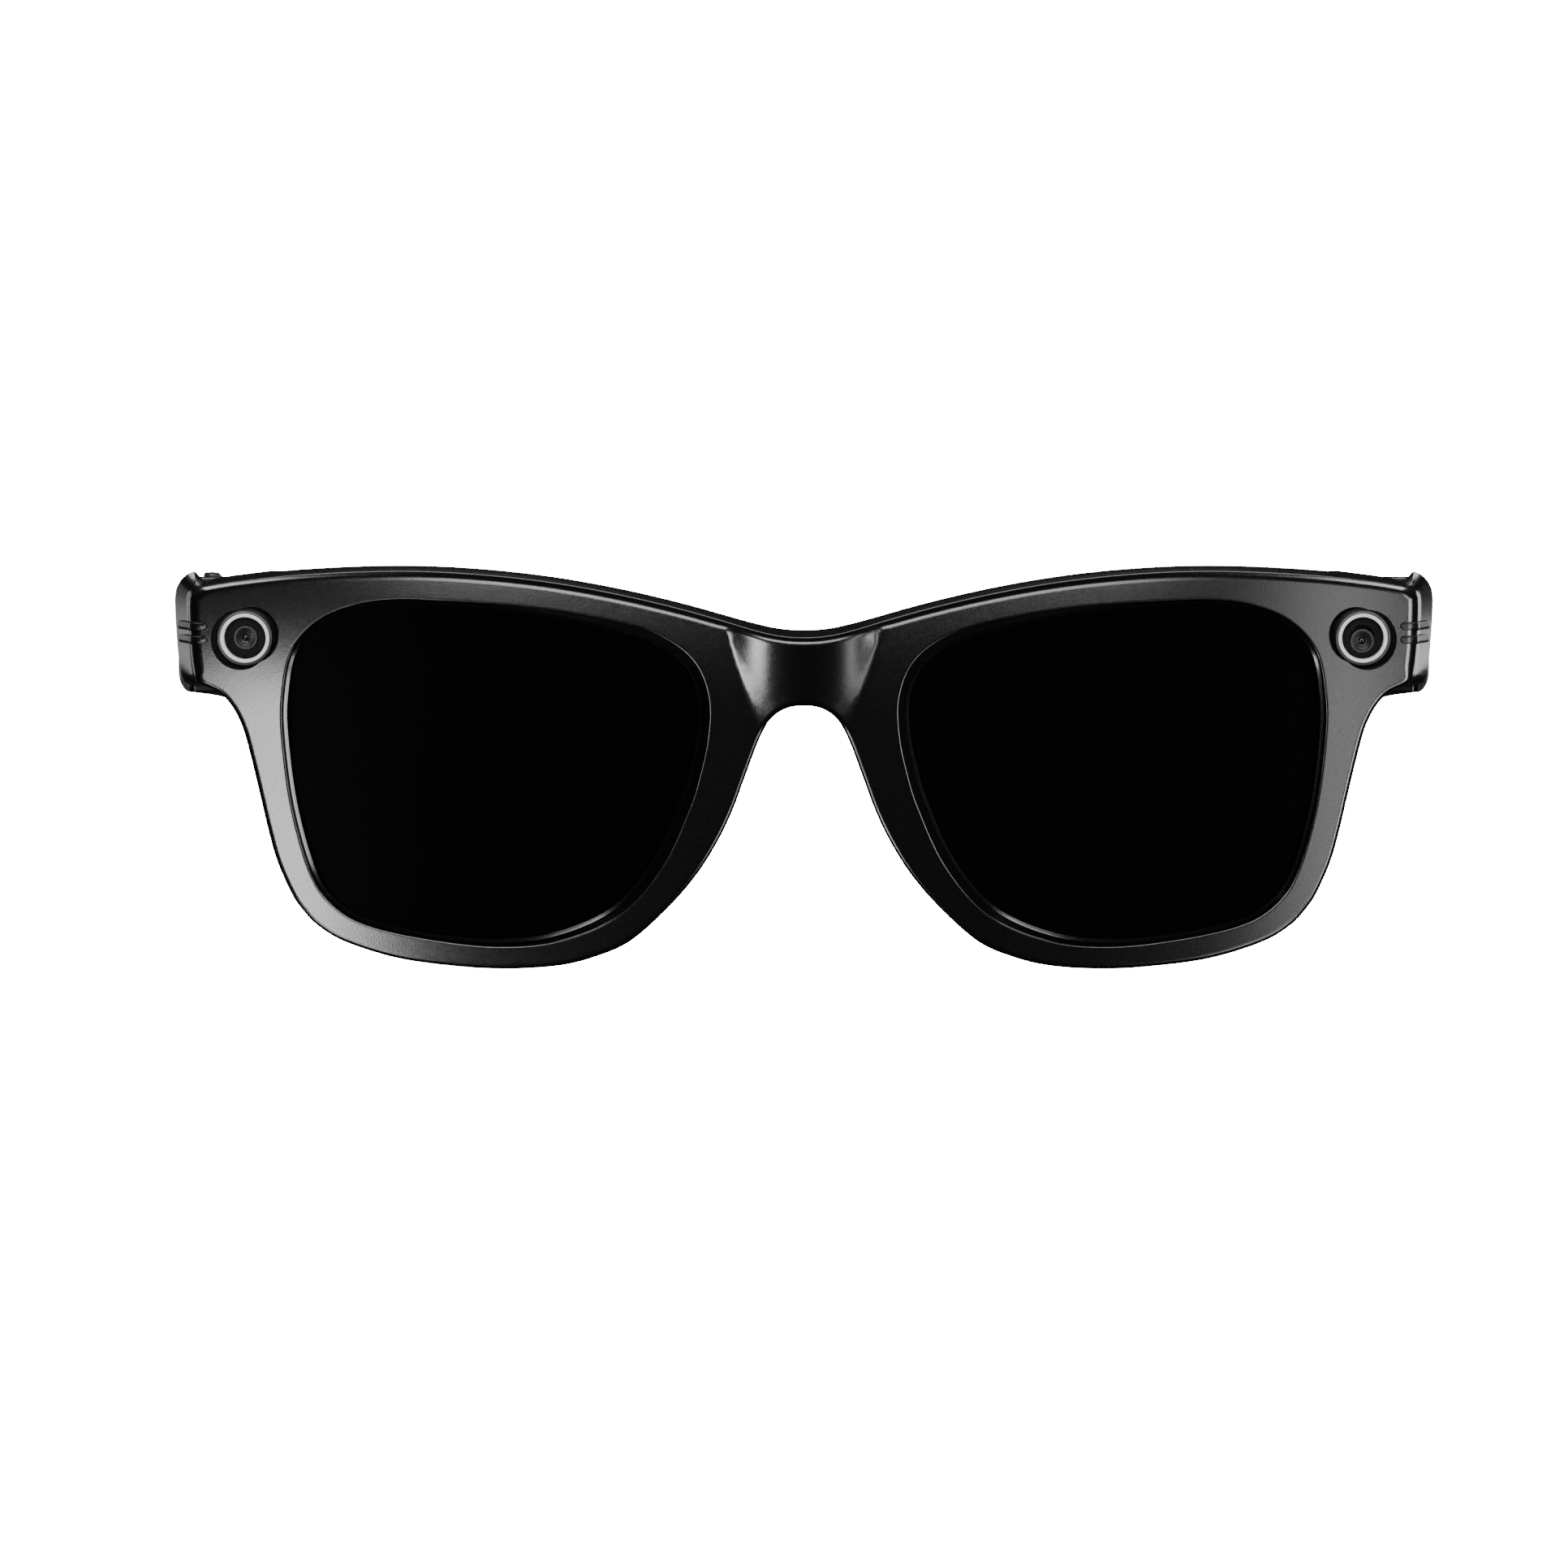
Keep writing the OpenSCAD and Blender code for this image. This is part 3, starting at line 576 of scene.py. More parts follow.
EDGE_ARC = [k * 90 / 7 for k in range(8)]
BACK_ARC = [0, 22.5, 45, 67.5, 90]
WALL_RINGS = 6
EVEN_BAND = 0.15
LENS_ROUND_R = 0.25
BACK_ROUND_R = 0.4
FACE_SPACING, BACK_SPACING = 1.1, 0.9
CREASE_HEIGHTS = (6.0, 17.5, 0.6)
CREASE_SINK, CREASE_SPREAD = 0.1, 0.35
FRONT_RINGS = []


def edge_radius(u, v):
    """Radius of the front edge's rounding: large along the top, smaller below, largest on the endpieces."""
    au = np.abs(u)
    radius = mix(0.62, 1.0, smoothstep(8.5, 15, v))
    return mix(radius, 1.6, smoothstep(71.6, 73.3, au) * smoothstep(8.5, 11.5, v))


def flare(u, v):
    """How far the outer wall flares outwards from the face's edge to the back."""
    au = np.abs(u)
    top = 0.45 * smoothstep(9, 15, v)
    flank = mix(0.5, 2.0, smoothstep(71.9, 72.7, au))
    return mix(top, flank, smoothstep(66.5, 71.5, au) * smoothstep(6.5, 9, v))


def pocket_loop(side, grow=0.0):
    """Outline round a camera: the union of two round pockets."""
    out = []
    for k in range(POCKET_POINTS):
        a = 2 * math.pi * k / POCKET_POINTS
        way = np.array([math.cos(a), math.sin(a)])
        reach = 0
        for middle, r in POCKETS:
            c = np.array(middle)
            along = c @ way
            reach = max(reach, along + math.sqrt((r + grow) ** 2 - c @ c + along ** 2))
        out.append((side * (CAMERA_U + reach * way[0]), CAMERA_V + reach * way[1]))
    return np.array(out)


def bevel_width(u):
    return mix(1.25, 0.5, smoothstep(14, 45, np.abs(u)))


def hinge_relief(shape, side):
    """Room for a hinge's barrel."""
    circle_round_pin = circle((side * HINGE_U, HINGE_W), RELIEF_R)
    return shape.prism(circle_round_pin, 2, LEAF_LOW - RELIEF_SPARE, LEAF_HIGH + RELIEF_SPARE)


def leaf_seat(shape, side, w0, w1):
    """Room for a hinge leaf, between two depths."""
    return shape.prism(box_corners(side * HINGE_U, side * LEAF_END_U, w0, w1), 2, LEAF_LOW, LEAF_HIGH)


def front_frame():
    shape = Shape()
    outline = smooth_loop(mirrored_loop(HALF_OUTLINE), OUTLINE_STEP)
    u, v = outline[:, 0], outline[:, 1]
    radius = edge_radius(u, v)
    normals = outward(outline, True)

    # Front rounding, from the outer wall to the face.
    amounts = [radius * (1 - math.cos(math.radians(a))) for a in EDGE_ARC[1:]] + [radius + EVEN_BAND]
    loops = [outline] + shrunk_steps(outline, amounts, True)
    front_rings = []
    for loop, a in zip(loops, EDGE_ARC + [90]):
        w = face_w(loop[:, 0], loop[:, 1]) + radius * (1 - math.sin(math.radians(a)))
        points = np.stack([loop[:, 0], w, loop[:, 1]], 1)
        front_rings.append(shape.ring(points))
        FRONT_RINGS.insert(0, points)
    for a, b in zip(front_rings, front_rings[1:]):
        shape.bridge(a, b)

    # Outer wall, flared to the back, then the back rounding.
    back_radius = mix(0.5, 0.22, endpiece_share(u, v))
    pad_lean = 0.42 * pad_height(u, v)
    full = flare(u, v)
    start_w = face_w(u, v) + radius
    end_w = back_w(u, v) - back_radius
    last = front_rings[0]
    for k in range(1, WALL_RINGS + 1):
        t = k / WALL_RINGS
        out = full * t ** mix(0.8, 1.0, endpiece_share(u, v)) - pad_lean * smoothstep(0.45, 1.0, t)
        loop = outline + normals * out[:, None]
        points = np.stack([loop[:, 0], mix(start_w, end_w, t), loop[:, 1]], 1)
        ring = shape.ring(points)
        FRONT_RINGS.append(points)
        shape.bridge(last, ring)
        last = ring
    amounts = [back_radius * (1 - math.cos(math.radians(a))) for a in BACK_ARC[1:]]
    for target, a, inner in zip(amounts, BACK_ARC[1:], shrunk_steps(loop, amounts, True)):
        w = end_w + back_radius * math.sin(math.radians(a))
        ring = shape.ring(np.stack([inner[:, 0], w, inner[:, 1]], 1))
        shape.bridge(last, ring)
        last = ring
    back_outer = (last, inner)
    face_outer = (front_rings[-1], loops[-1])

    # Lens openings: face rounding, bevel, groove and back edge.
    face_holes, back_holes = [], []
    for side in (RIGHT, LEFT):
        edge = smooth_loop([(side * a, b) for a, b in LENS_POINTS], LENS_STEP)
        n = outward(edge, side == RIGHT)
        wide = bevel_width(edge[:, 0])

        def lens_ring(grow, depth=None, w=None):
            loop = edge + n * (grow * np.ones(len(edge)))[:, None]
            if w is None:
                w = behind(loop[:, 0], depth)
            return shape.ring(np.stack([loop[:, 0], w, loop[:, 1]], 1)), loop

        rings = []
        for a in (90, 75, 60, 45, 30, 15, 0):
            s, c = math.sin(math.radians(a)), math.cos(math.radians(a))
            grow = wide + LENS_ROUND_R * (1 - c)
            loop = edge + n * grow[:, None]
            w = behind(loop[:, 0], LENS_ROUND_R * (1 - s)) + crown(loop[:, 1])
            rings.append(lens_ring(grow, w=w))
        loop = edge + n * (wide + LENS_ROUND_R + EVEN_BAND)[:, None]
        w = behind(loop[:, 0], 0) + crown(loop[:, 1])
        rings.append(lens_ring(wide + LENS_ROUND_R + EVEN_BAND, w=w))
        rings.insert(0, rings.pop())
        face_holes.append(rings[0])
        for grow, depth in ((0.46, 1.2), (0.44, 1.29), (0.4, 1.34), (0.08, 1.56), (0.03, 1.61), (0, 1.72)):
            rings.append(lens_ring(grow, depth))
        rings.append(lens_ring(0.62, 1.69))
        rings.append(lens_ring(0.62, 3.71))
        rings.append(lens_ring(0.0, 3.68))
        for a in (0, 30, 60, 90):
            s, c = math.sin(math.radians(a)), math.cos(math.radians(a))
            loop = edge + n * (BACK_ROUND_R * (1 - c))
            w = back_w(loop[:, 0], loop[:, 1]) - BACK_ROUND_R * (1 - s)
            rings.append(lens_ring(BACK_ROUND_R * (1 - c), w=w))
        back_holes.append(rings[-1])
        for (a, _), (b, _) in zip(rings, rings[1:]):
            shape.bridge(a, b)

        # Camera pocket: a tiny chamfer, a wall and a floor, then a bore and a wider well behind it.
        rim = pocket_loop(side, POCKET_EDGE)
        wall = pocket_loop(side)
        rim_ring = shape.ring(np.stack([rim[:, 0], face_w(*rim.T), rim[:, 1]], 1))
        wall_ring = shape.ring(np.stack([wall[:, 0], face_w(*wall.T) + POCKET_EDGE, wall[:, 1]], 1))
        floor_w = BEZEL_W + POCKET_DEEP
        foot_ring = shape.ring(np.stack([wall[:, 0], np.full(len(wall), floor_w), wall[:, 1]], 1))
        shape.bridge(rim_ring, wall_ring)
        shape.bridge(wall_ring, foot_ring)
        last = foot_ring
        for r, w in ((BORE_R, floor_w), (BORE_R, WELL_STEP_W), (WELL_R, WELL_STEP_W), (WELL_R, WELL_FLOOR_W)):
            ring = shape.ring([(side * a, w, b) for a, b in circle((CAMERA_U, CAMERA_V), r, POCKET_POINTS)])
            shape.bridge(last, ring)
            last = ring
        shape.cap(last)
        face_holes.append((rim_ring, rim))

    creases = []
    for side in (RIGHT, LEFT):
        for height in np.arange(*CREASE_HEIGHTS):
            reach = (ridge_axis_w(height) - CREASE_SINK) * math.cos(BRIDGE_TILT)
            foot = math.sqrt(max(BRIDGE_R ** 2 - reach ** 2, 0))
            creases += [(side * (foot + off), height) for off in (-CREASE_SPREAD, 0, CREASE_SPREAD)]
    fill_sheet(shape, face_outer, face_holes, face_w, FACE_SPACING, creases)
    fill_sheet(shape, back_outer, back_holes, back_w, BACK_SPACING)
    reliefs, seats = Shape(), Shape()
    for side in (RIGHT, LEFT):
        hinge_relief(reliefs, side)
        leaf_seat(seats, side, LEAF_SEAT_W, HINGE_W + SEAT_PAST)
    reliefs.prism(circle((0, MICROPHONE_V), PORT_R, 24), 1, PORT_FROM_W, PORT_TO_W)
    return make_piece("front_frame_shell", shape, FRONT_PLASTIC, "front",
                      ["front_frame"], sharp=32, cutters=(reliefs, seats))


LENS_FRONT, LENS_BACK = 1.7, 3.7
LENS_REACH = 0.6


def lens(side):
    """A lens: two wrapped faces that reach into the groove, with a narrow edge."""
    name = SIDE_NAME[side]
    edge = smooth_loop([(side * a, b) for a, b in LENS_POINTS], LENS_STEP)
    edge = edge + outward(edge, side == RIGHT) * LENS_REACH
    middle = edge.mean(0)
    shape = Shape()
    fronts, backs = [], []
    for share in (1, 0.97, 0.9, 0.8, 0.68, 0.55, 0.42, 0.3, 0.18, 0.08):
        loop = middle + (edge - middle) * share
        for faces, depth in ((fronts, LENS_FRONT), (backs, LENS_BACK)):
            faces.append(np.stack([loop[:, 0], behind(loop[:, 0], depth), loop[:, 1]], 1))
    made = shape.rings(fronts[::-1] + backs)
    for ring, depth in ((made[0], LENS_FRONT), (made[-1], LENS_BACK)):
        shape.fan(ring, (middle[0], float(behind(middle[0], depth)), middle[1]))
    return make_piece("lens_" + name + "_shaped", shape, LENS_DARK, "front",
                      ["lens_" + name], sharp=60)


# --- Cameras ---


TURNS = 96


def turned_solid(shape, side, profile, drop=0.0, turns=TURNS):
    """A solid turned about a camera's axis, from a profile that starts and ends on the axis."""
    loops = [[(side * a, BEZEL_W + d, b) for a, b in circle((CAMERA_U, CAMERA_V - drop), r, turns)]
             for r, d in profile[1:-1]]
    made = shape.rings(loops)
    for ring, (_, d) in ((made[0], profile[0]), (made[-1], profile[-1])):
        shape.fan(ring, (side * CAMERA_U, BEZEL_W + d, CAMERA_V - drop))
    return shape


def turned(name, side, profile, material, replaces, drop=0.0):
    """A piece turned about a camera's axis, from a closed profile in radius and depth."""
    shape = Shape()
    loops = []
    for k in range(TURNS):
        a = 2 * math.pi * k / TURNS
        loops.append([(side * (CAMERA_U + r * math.cos(a)), BEZEL_W + d, CAMERA_V - drop + r * math.sin(a))
                      for r, d in profile])
    shape.turned_in(loops)
    return make_piece(name, shape, material, "front", replaces, sharp=35)


def arc(cr, cd, r, start, end, n=5):
    """Points of a round corner in radius and depth."""
    return [(cr + r * math.cos(math.radians(mix(start, end, k / n))),
             cd + r * math.sin(math.radians(mix(start, end, k / n)))) for k in range(n + 1)]


LEFT_BARREL_DROP = 0.4
BODY_HALF = 2.2


def camera(side):
    name = SIDE_NAME[side]
    drop = LEFT_BARREL_DROP if side == LEFT else 0.0
    turned("camera_bezel_" + name + "_turned", side,
           [(2.93, 0.02), (2.99, -0.02), (3.05, 0.0)] + arc(3.14, 0.12, 0.12, -90, 0)
           + [(3.26, 2.4), (1.95, 2.4), (1.95, 1.2), (2.93, 1.2)],
           BEZEL_METAL, ["camera_bezel_" + name])
    turned("light_ring_" + name + "_turned", side,
           arc(2.56, 0.10, 0.06, 180, 270) + arc(2.87, 0.10, 0.06, -90, 0) + [(2.93, 1.15), (2.5, 1.15)],
           RING_WHITE, ["light_ring_" + name])
    mask = [(1.5, 1.0), (1.54, 0.96), (2.46, 0.96), (2.48, 1.0), (2.48, 1.18), (1.5, 1.18)]
    turned("camera_mask_" + name, side, mask, BLACK_MASK_AND_GROOVE_SHADE, ())
    window = turned_solid(Shape(), side, [(0, 0.2), (2.42, 0.2), (2.49, 0.26), (2.49, 0.7), (0, 0.7)])
    make_piece("camera_window_" + name + "_turned", window, CAMERA_GLASS, "front",
               ["camera_window_" + name])
    body = turned_solid(Shape(), side, [
        (0, 1.6), (0.42, 1.62), (0.46, 1.46), (0.5, 1.44), (0.72, 1.4), (0.76, 1.26), (0.8, 1.22),
        (1.0, 1.17), (1.04, 1.0), (1.08, 0.95), (1.14, 0.93), (1.18, 0.9), (1.38, 0.9), (1.42, 0.94),
        (1.42, 2.62), (0, 2.62)], drop)
    corners = box_corners(CAMERA_U - BODY_HALF, CAMERA_U + BODY_HALF, 2.6, 5.2)
    low, high = CAMERA_V - drop - BODY_HALF, CAMERA_V - drop + BODY_HALF
    body.prism([(side * a, BEZEL_W + d) for a, d in corners], 2, low, high)
    make_piece("camera_barrel_" + name + "_turned", body, BARREL_BLACK, "front",
               ["camera_module_" + name], sharp=30)
    rim = arc(1.36, 0.93, 0.05, -90, 0, 4) + arc(1.2, 0.93, 0.05, 180, 270, 4)
    turned("camera_barrel_rim_" + name, side, rim, RIM_GREY, ["camera_module_" + name], drop)
    dome = [(0, 1.36), (0.1, 1.365), (0.2, 1.39), (0.3, 1.44), (0.38, 1.52), (0.4, 1.61), (0, 1.61)]
    eye = turned_solid(Shape(), side, dome, drop, 48)
    make_piece("camera_eye_" + name, eye, EYE_GLASS, "front", ["camera_module_" + name],
               sharp=60)


# --- Trim pins ---

PIN_HEIGHTS = (16.6, 15.0)
PIN_HALF = 0.435
PIN_STARTS_U, PIN_ENDS_W = 71.15, 16.1
PIN_PROUD = 0.11
# How much wider than a pin its painted groove shade strip is.
GROOVE_SHADE_WIDER = 0.13
PIN_STEP = 0.08
PIN_EDGE = 0.14


def flank_line(v):
    """The front's surface at height v, from the face round the corner and along the flank, as u and w."""
    rows = []
    for ring in FRONT_RINGS:
        part = ring[(ring[:, 0] > 66) & (ring[:, 2] > 11) & (ring[:, 2] < 20.3)]
        part = part[np.argsort(part[:, 2])]
        rows.append([np.interp(v, part[:, 2], part[:, 0]), np.interp(v, part[:, 2], part[:, 1])])
    start = rows[0][0]
    face = [(u, float(face_w(u, v))) for u in np.arange(PIN_STARTS_U - 0.6, start - 0.05, PIN_STEP)]
    return np.array(face + rows)


def directions(line):
    """Unit directions along a line of points."""
    way = np.gradient(line, axis=0)
    return way / np.linalg.norm(way, axis=1)[:, None]


def pin_strip(shape, side, middle_v, half, proud, deep):
    """A pill-ended strip that follows the surface, with rounded long edges."""
    line = flank_line(middle_v)
    way = directions(line)
    out = np.stack([way[:, 1], -way[:, 0]], 1)
    length = np.concatenate([[0], np.cumsum(np.linalg.norm(np.diff(line, axis=0), axis=1))])
    grow = half - PIN_HALF
    start = float(np.interp(PIN_STARTS_U, line[:, 0], length)) - grow
    end = float(np.interp(PIN_ENDS_W, line[:, 1], length)) + grow
    stops = [start + half * (1 - math.cos(math.radians(a))) for a in range(8, 91, 8)]
    stops += list(np.arange(stops[-1] + PIN_STEP, end - half, PIN_STEP))
    stops += [end - half * (1 - math.sin(math.radians(a))) for a in range(0, 83, 8)]
    loops = []
    for s in stops:
        short = max(start + half - s, s - end + half, 0)
        h = math.sqrt(max(half ** 2 - short ** 2, 0.0004))
        at = np.array([np.interp(s, length, line[:, k]) for k in (0, 1)])
        n = np.array([np.interp(s, length, out[:, k]) for k in (0, 1)])
        edge = min(PIN_EDGE, h * 0.6)
        half_profile = [(h, -deep), (h, proud * 0.2), (h - edge * 0.3, proud * 0.7), (h - edge, proud)]
        profile = [(-y, d) for y, d in half_profile] + [(0, proud * 1.15)] + half_profile[::-1]
        loops.append([(side * (at[0] + n[0] * d), at[1] + n[1] * d, middle_v + y) for y, d in profile])
    return shape.closed_loft(loops)


def trim_pins(side):
    shape = Shape()
    for v in PIN_HEIGHTS:
        pin_strip(shape, side, v, PIN_HALF, PIN_PROUD, 0.4)
    first = len(shape.faces)
    # A wider, nearly flat dark strip under each pin: painted shade standing in for the shadowed groove round
    # the pin, which the frame does not have.
    for v in PIN_HEIGHTS:
        pin_strip(shape, side, v, PIN_HALF + GROOVE_SHADE_WIDER, 0.012, 0.3)
    make_piece("trim_pins_" + SIDE_NAME[side] + "_inlaid", shape, PIN_BLACK, "front",
               ["trim_pins_" + SIDE_NAME[side]], sharp=50, second=(BLACK_MASK_AND_GROOVE_SHADE, first))


def back_cover():
    """The strip that closes the channel over the lenses, a touch proud of the back."""
    half_line = [(0, 12.4), (8, 14.6), (14.5, 17.6), (22, 19.2), (30, 20.6), (38, 21.4), (46, 21.8),
                 (54, 21.4), (59.5, 19.9)]
    line = smooth_line([(-u, v) for u, v in half_line[:0:-1]] + half_line, 8)
    half_profile = [(1.2, -0.5), (1.2, 0.03), (1.16, 0.08), (1.08, 0.1)]
    profile = [(-y, d) for y, d in half_profile] + half_profile[::-1]
    shape = Shape()
    loops = []
    for (u, v), (du, dv) in zip(line, directions(line)):
        places = [(u - dv * y, v + du * y, d) for y, d in profile]
        loops.append([(pu, float(back_w(pu, pv)) + d, pv) for pu, pv, d in places])
    shape.closed_loft(loops)
    make_piece("front_back_cover_strip", shape, COVER_PLASTIC, "front",
               ["front_back_cover"])


# --- Temples ---

# Matching points on a temple's top and bottom edges: w and v of the top one, then w and v of the bottom one.
TEMPLE_STATIONS = [
    (17.25, 22.27, 17.25, 8.29), (23.5, 21.1, 23.5, 7.75), (30, 19.9, 30, 7.1), (40, 17.9, 40, 6.1),
    (50, 15.9, 50, 4.9), (60, 13.9, 60, 3.4), (70, 11.9, 70, 1.7), (80, 9.85, 80, -0.2), (90, 7.6, 90, -2.4),
    (97, 5.75, 97, -4), (104, 3.8, 104, -5.75), (110.5, 2, 109.5, -7.5), (117, -0.1, 114.5, -9.4),
    (124, -2.7, 119.5, -11.6), (130.5, -5.6, 124.8, -14), (136.2, -9.4, 129.8, -17.5),
    (141, -14, 133.8, -21.6), (145, -18.6, 137.2, -25.5), (147.3, -22.6, 140, -27.6),
    (148.2, -25.2, 142.6, -28.05), (148.2, -26.8, 144.8, -28.14), (147.7, -27.8, 146.4, -28.19),
]
TEMPLE_INNER = [(17, 66.5), (85, 65.5), (115, 64.5), (132, 62.9), (141, 61.5), (150, 59.9)]
TEMPLE_OUTER = [(17, 75.4), (25, 75.6), (40, 75.1), (60, 74), (80, 72.1), (100, 70), (120, 68.6), (140, 67.2),
                (150, 66.1)]
STATION_PIECES = 6
COVER_LAST = 10
COVER_T = 1.7
SEAM_HALF_GAP = 0.06
SEAM_ROUND = 0.16
INNER_ROUND, OUTER_ROUND, OUTER_LOW_ROUND = 1.7, 1.55, 2.7
END_ROUND = 0.35
TIP_W = 147
GRILLE_AT, GRILLE_SLOPE = (68.1, 84, -0.9), 12
GRILLE_HALF, GRILLE_DEPTHS = (0.93, 4.55), (-2, 0.42)
SLIDER_AT = (66.1, 34, 13.4)
SLIDER_RECESS = box_corners(-2.45, 4.45, -1.25, 1.25)


def across(table, w):
    return np.interp(w, [p[0] for p in table], [p[1] for p in table])


def temple_ring(side, station, part, inset=0.0):
    """One section of a temple: all of it, or its share inside or outside the seam."""
    top, bottom = np.array(station[:2]), np.array(station[2:])
    middle, half = (top + bottom) / 2, np.linalg.norm(top - bottom) / 2
    up = (top - bottom) / (2 * half)
    width = float(across(TEMPLE_OUTER, middle[0]) - across(TEMPLE_INNER, middle[0]))
    seam = width - COVER_T
    x0, x1, inner, outer = {"all": (0, width, INNER_ROUND, OUTER_ROUND),
                            "housing": (0, seam - SEAM_HALF_GAP, INNER_ROUND, SEAM_ROUND),
                            "cover": (seam + SEAM_HALF_GAP, width, SEAM_ROUND, OUTER_ROUND)}[part]
    x0, x1, half = x0 + inset, x1 - inset, half - inset
    inner, outer = (min(max(r - inset, 0.03), 0.9 * half) for r in (inner, outer))
    squeeze = min(1, 0.97 * (x1 - x0) / (inner + outer))
    inner, outer = inner * squeeze, outer * squeeze
    low = min(outer * OUTER_LOW_ROUND / OUTER_ROUND, 0.9 * half)
    points = []
    corners = [(x1 - outer, half - outer, outer, outer), (x0 + inner, half - inner, inner, inner),
               (x0 + inner, -half + inner, inner, inner), (x1 - outer, -half + low, outer, low)]
    for quarter, (cx, cy, rx, ry) in enumerate(corners):
        turns = [math.radians(90 * quarter + a) for a in range(0, 91, 15)]
        corner = [(cx + rx * math.cos(a), cy + ry * math.sin(a)) for a in turns]
        if points:
            last = points[-1]
            first = corner[0]
            points += [(mix(last[0], first[0], t), mix(last[1], first[1], t)) for t in (0.25, 0.5, 0.75)]
        points += corner
    out = []
    for x, y in points:
        w, v = middle + up * y
        share = x / width
        out.append((side * mix(across(TEMPLE_INNER, w), across(TEMPLE_OUTER, w), share), w, v))
    return out


def rounded_start(side, station, part, length):
    """Sections that round the front end of a part of a temple."""
    out = []
    for a in (0, 30, 60):
        s, c = math.sin(math.radians(a)), math.cos(math.radians(a))
        moved = [station[0] + length * (1 - c), station[1], station[2] + length * (1 - c), station[3]]
        out.append(temple_ring(side, moved, part, length * (1 - s)))
    return out


def temple(side):
    name = SIDE_NAME[side]
    stations = smooth_line(TEMPLE_STATIONS, STATION_PIECES)
    split = COVER_LAST * STATION_PIECES + 1
    first, last = stations[1:split], stations[split:]
    body = "temple_" + name

    housing = Shape()
    loops = rounded_start(side, stations[0], "housing", END_ROUND)
    loops += [temple_ring(side, st, "housing") for st in first]
    step = first[-1] + np.array([0.1, 0, 0.1, 0])
    loops += [temple_ring(side, step, "housing"), temple_ring(side, step, "all", SEAM_ROUND)]
    loops += [temple_ring(side, step + np.array([SEAM_ROUND, -0.04, SEAM_ROUND, -0.04]), "all")]
    loops += [temple_ring(side, st, "all") for st in last]
    rings = housing.rings(loops)
    housing.cap(rings[0])
    end = last[-1]
    housing.fan(rings[-1], (side * float(across(TEMPLE_INNER, TIP_W) + across(TEMPLE_OUTER, TIP_W)) / 2,
                            (end[0] + end[2]) / 2 + 0.1, (end[1] + end[3]) / 2 + 0.02))

    wide, long = GRILLE_HALF
    grille = [on_temple([(x, y, z) for x, y in box_corners(-wide, wide, -long, long)], GRILLE_AT, side,
                        GRILLE_SLOPE) for z in GRILLE_DEPTHS]
    cutters = [hinge_relief(Shape(), side), leaf_seat(Shape(), side, HINGE_W - SEAT_PAST, TEMPLE_SEAT_W),
               Shape().closed_loft(grille)]
    if side == RIGHT:
        hole = [pill_on_temple(BUTTON_GAP, z) for z in (-3.4, 4)]
        cutters.append(Shape().closed_loft(hole))
    else:
        recess = [on_temple([(x, y, z) for y, z in SLIDER_RECESS], SLIDER_AT, side) for x in (-2.5, 0.8)]
        cutters.append(Shape().closed_loft(recess))
    make_piece("temple_housing_" + name + "_moulded", housing, TEMPLE_PLASTIC, body,
               ["temple_housing_" + name], cutters=cutters)
    if side == RIGHT:
        collar = Shape().turned_in([pill_on_temple(off, z) for off, z in COLLAR])
        make_piece("button_collar", collar, TEMPLE_PLASTIC, body, ())

    cover = Shape()
    loops = rounded_start(side, stations[0], "cover", END_ROUND)
    loops += [temple_ring(side, st, "cover") for st in first]
    loops.append(temple_ring(side, first[-1] + np.array([0.04, 0, 0.04, 0]), "cover", SEAM_ROUND))
    cover.closed_loft(loops)
    make_piece("temple_cover_" + name + "_moulded", cover, COVER_PLASTIC, body,
               ["temple_cover_" + name])


BUTTON_AT = (71.7, 24.2, 21.0)
BUTTON_L, BUTTON_W = 6.4, 2.0
BUTTON_GAP = 0.1
PILL_PIECES = 16
COLLAR = [(0.95, -0.35), (0.7, 0.02), (0.46, 0.16), (0.3, 0.34), (0.2, 0.37), (0.12, 0.3), (0.12, -0.35)]
DOTS_Y = (-2.2, 1.4)
DOT_X, DOT_R = 1.42, 0.17


def pill_on_temple(off, z):
    """The capture button's outline, moved outwards, at a height over the temple's top."""
    r, reach = BUTTON_W / 2 + off, (BUTTON_L - BUTTON_W) / 2
    outline = []
    for way, start in ((1, 0), (-1, 180)):
        for k in range(PILL_PIECES + 1):
            a = math.radians(k * 180 / PILL_PIECES + start)
            outline.append((r * math.cos(a), way * reach + r * math.sin(a), z))
    return on_temple(outline, BUTTON_AT, RIGHT)


def capture_button():
    rings = [(-0.02, -1.6), (-0.02, 0.2), (0.03, 0.55), (0.02, 0.75), (-0.04, 0.9), (-0.13, 0.98),
             (-0.26, 1.0), (-0.42, 0.95), (-0.62, 0.87), (-0.85, 0.83)]
    shape = Shape().closed_loft([pill_on_temple(off, z) for off, z in rings])
    make_piece("capture_button_dished", shape, BUTTON_PLASTIC, "capture_button",
               ["capture_button"])
    for k, y in enumerate(DOTS_Y):
        loops = []
        for r, up in ((1, -0.4), (1, 0.0), (0.85, 0.05), (0.4, 0.07)):
            dot = [(DOT_X + DOT_R * x, y + DOT_R * z, up) for x, z in circle((0, 0), r, 20)]
            loops.append(on_temple(dot, BUTTON_AT, RIGHT))
        shape = Shape().closed_loft(loops)
        make_piece("status_dot_%d" % (k + 1), shape, RING_WHITE, "temple_right", ())


# --- Finishes of the parts that keep their CAD shapes ---

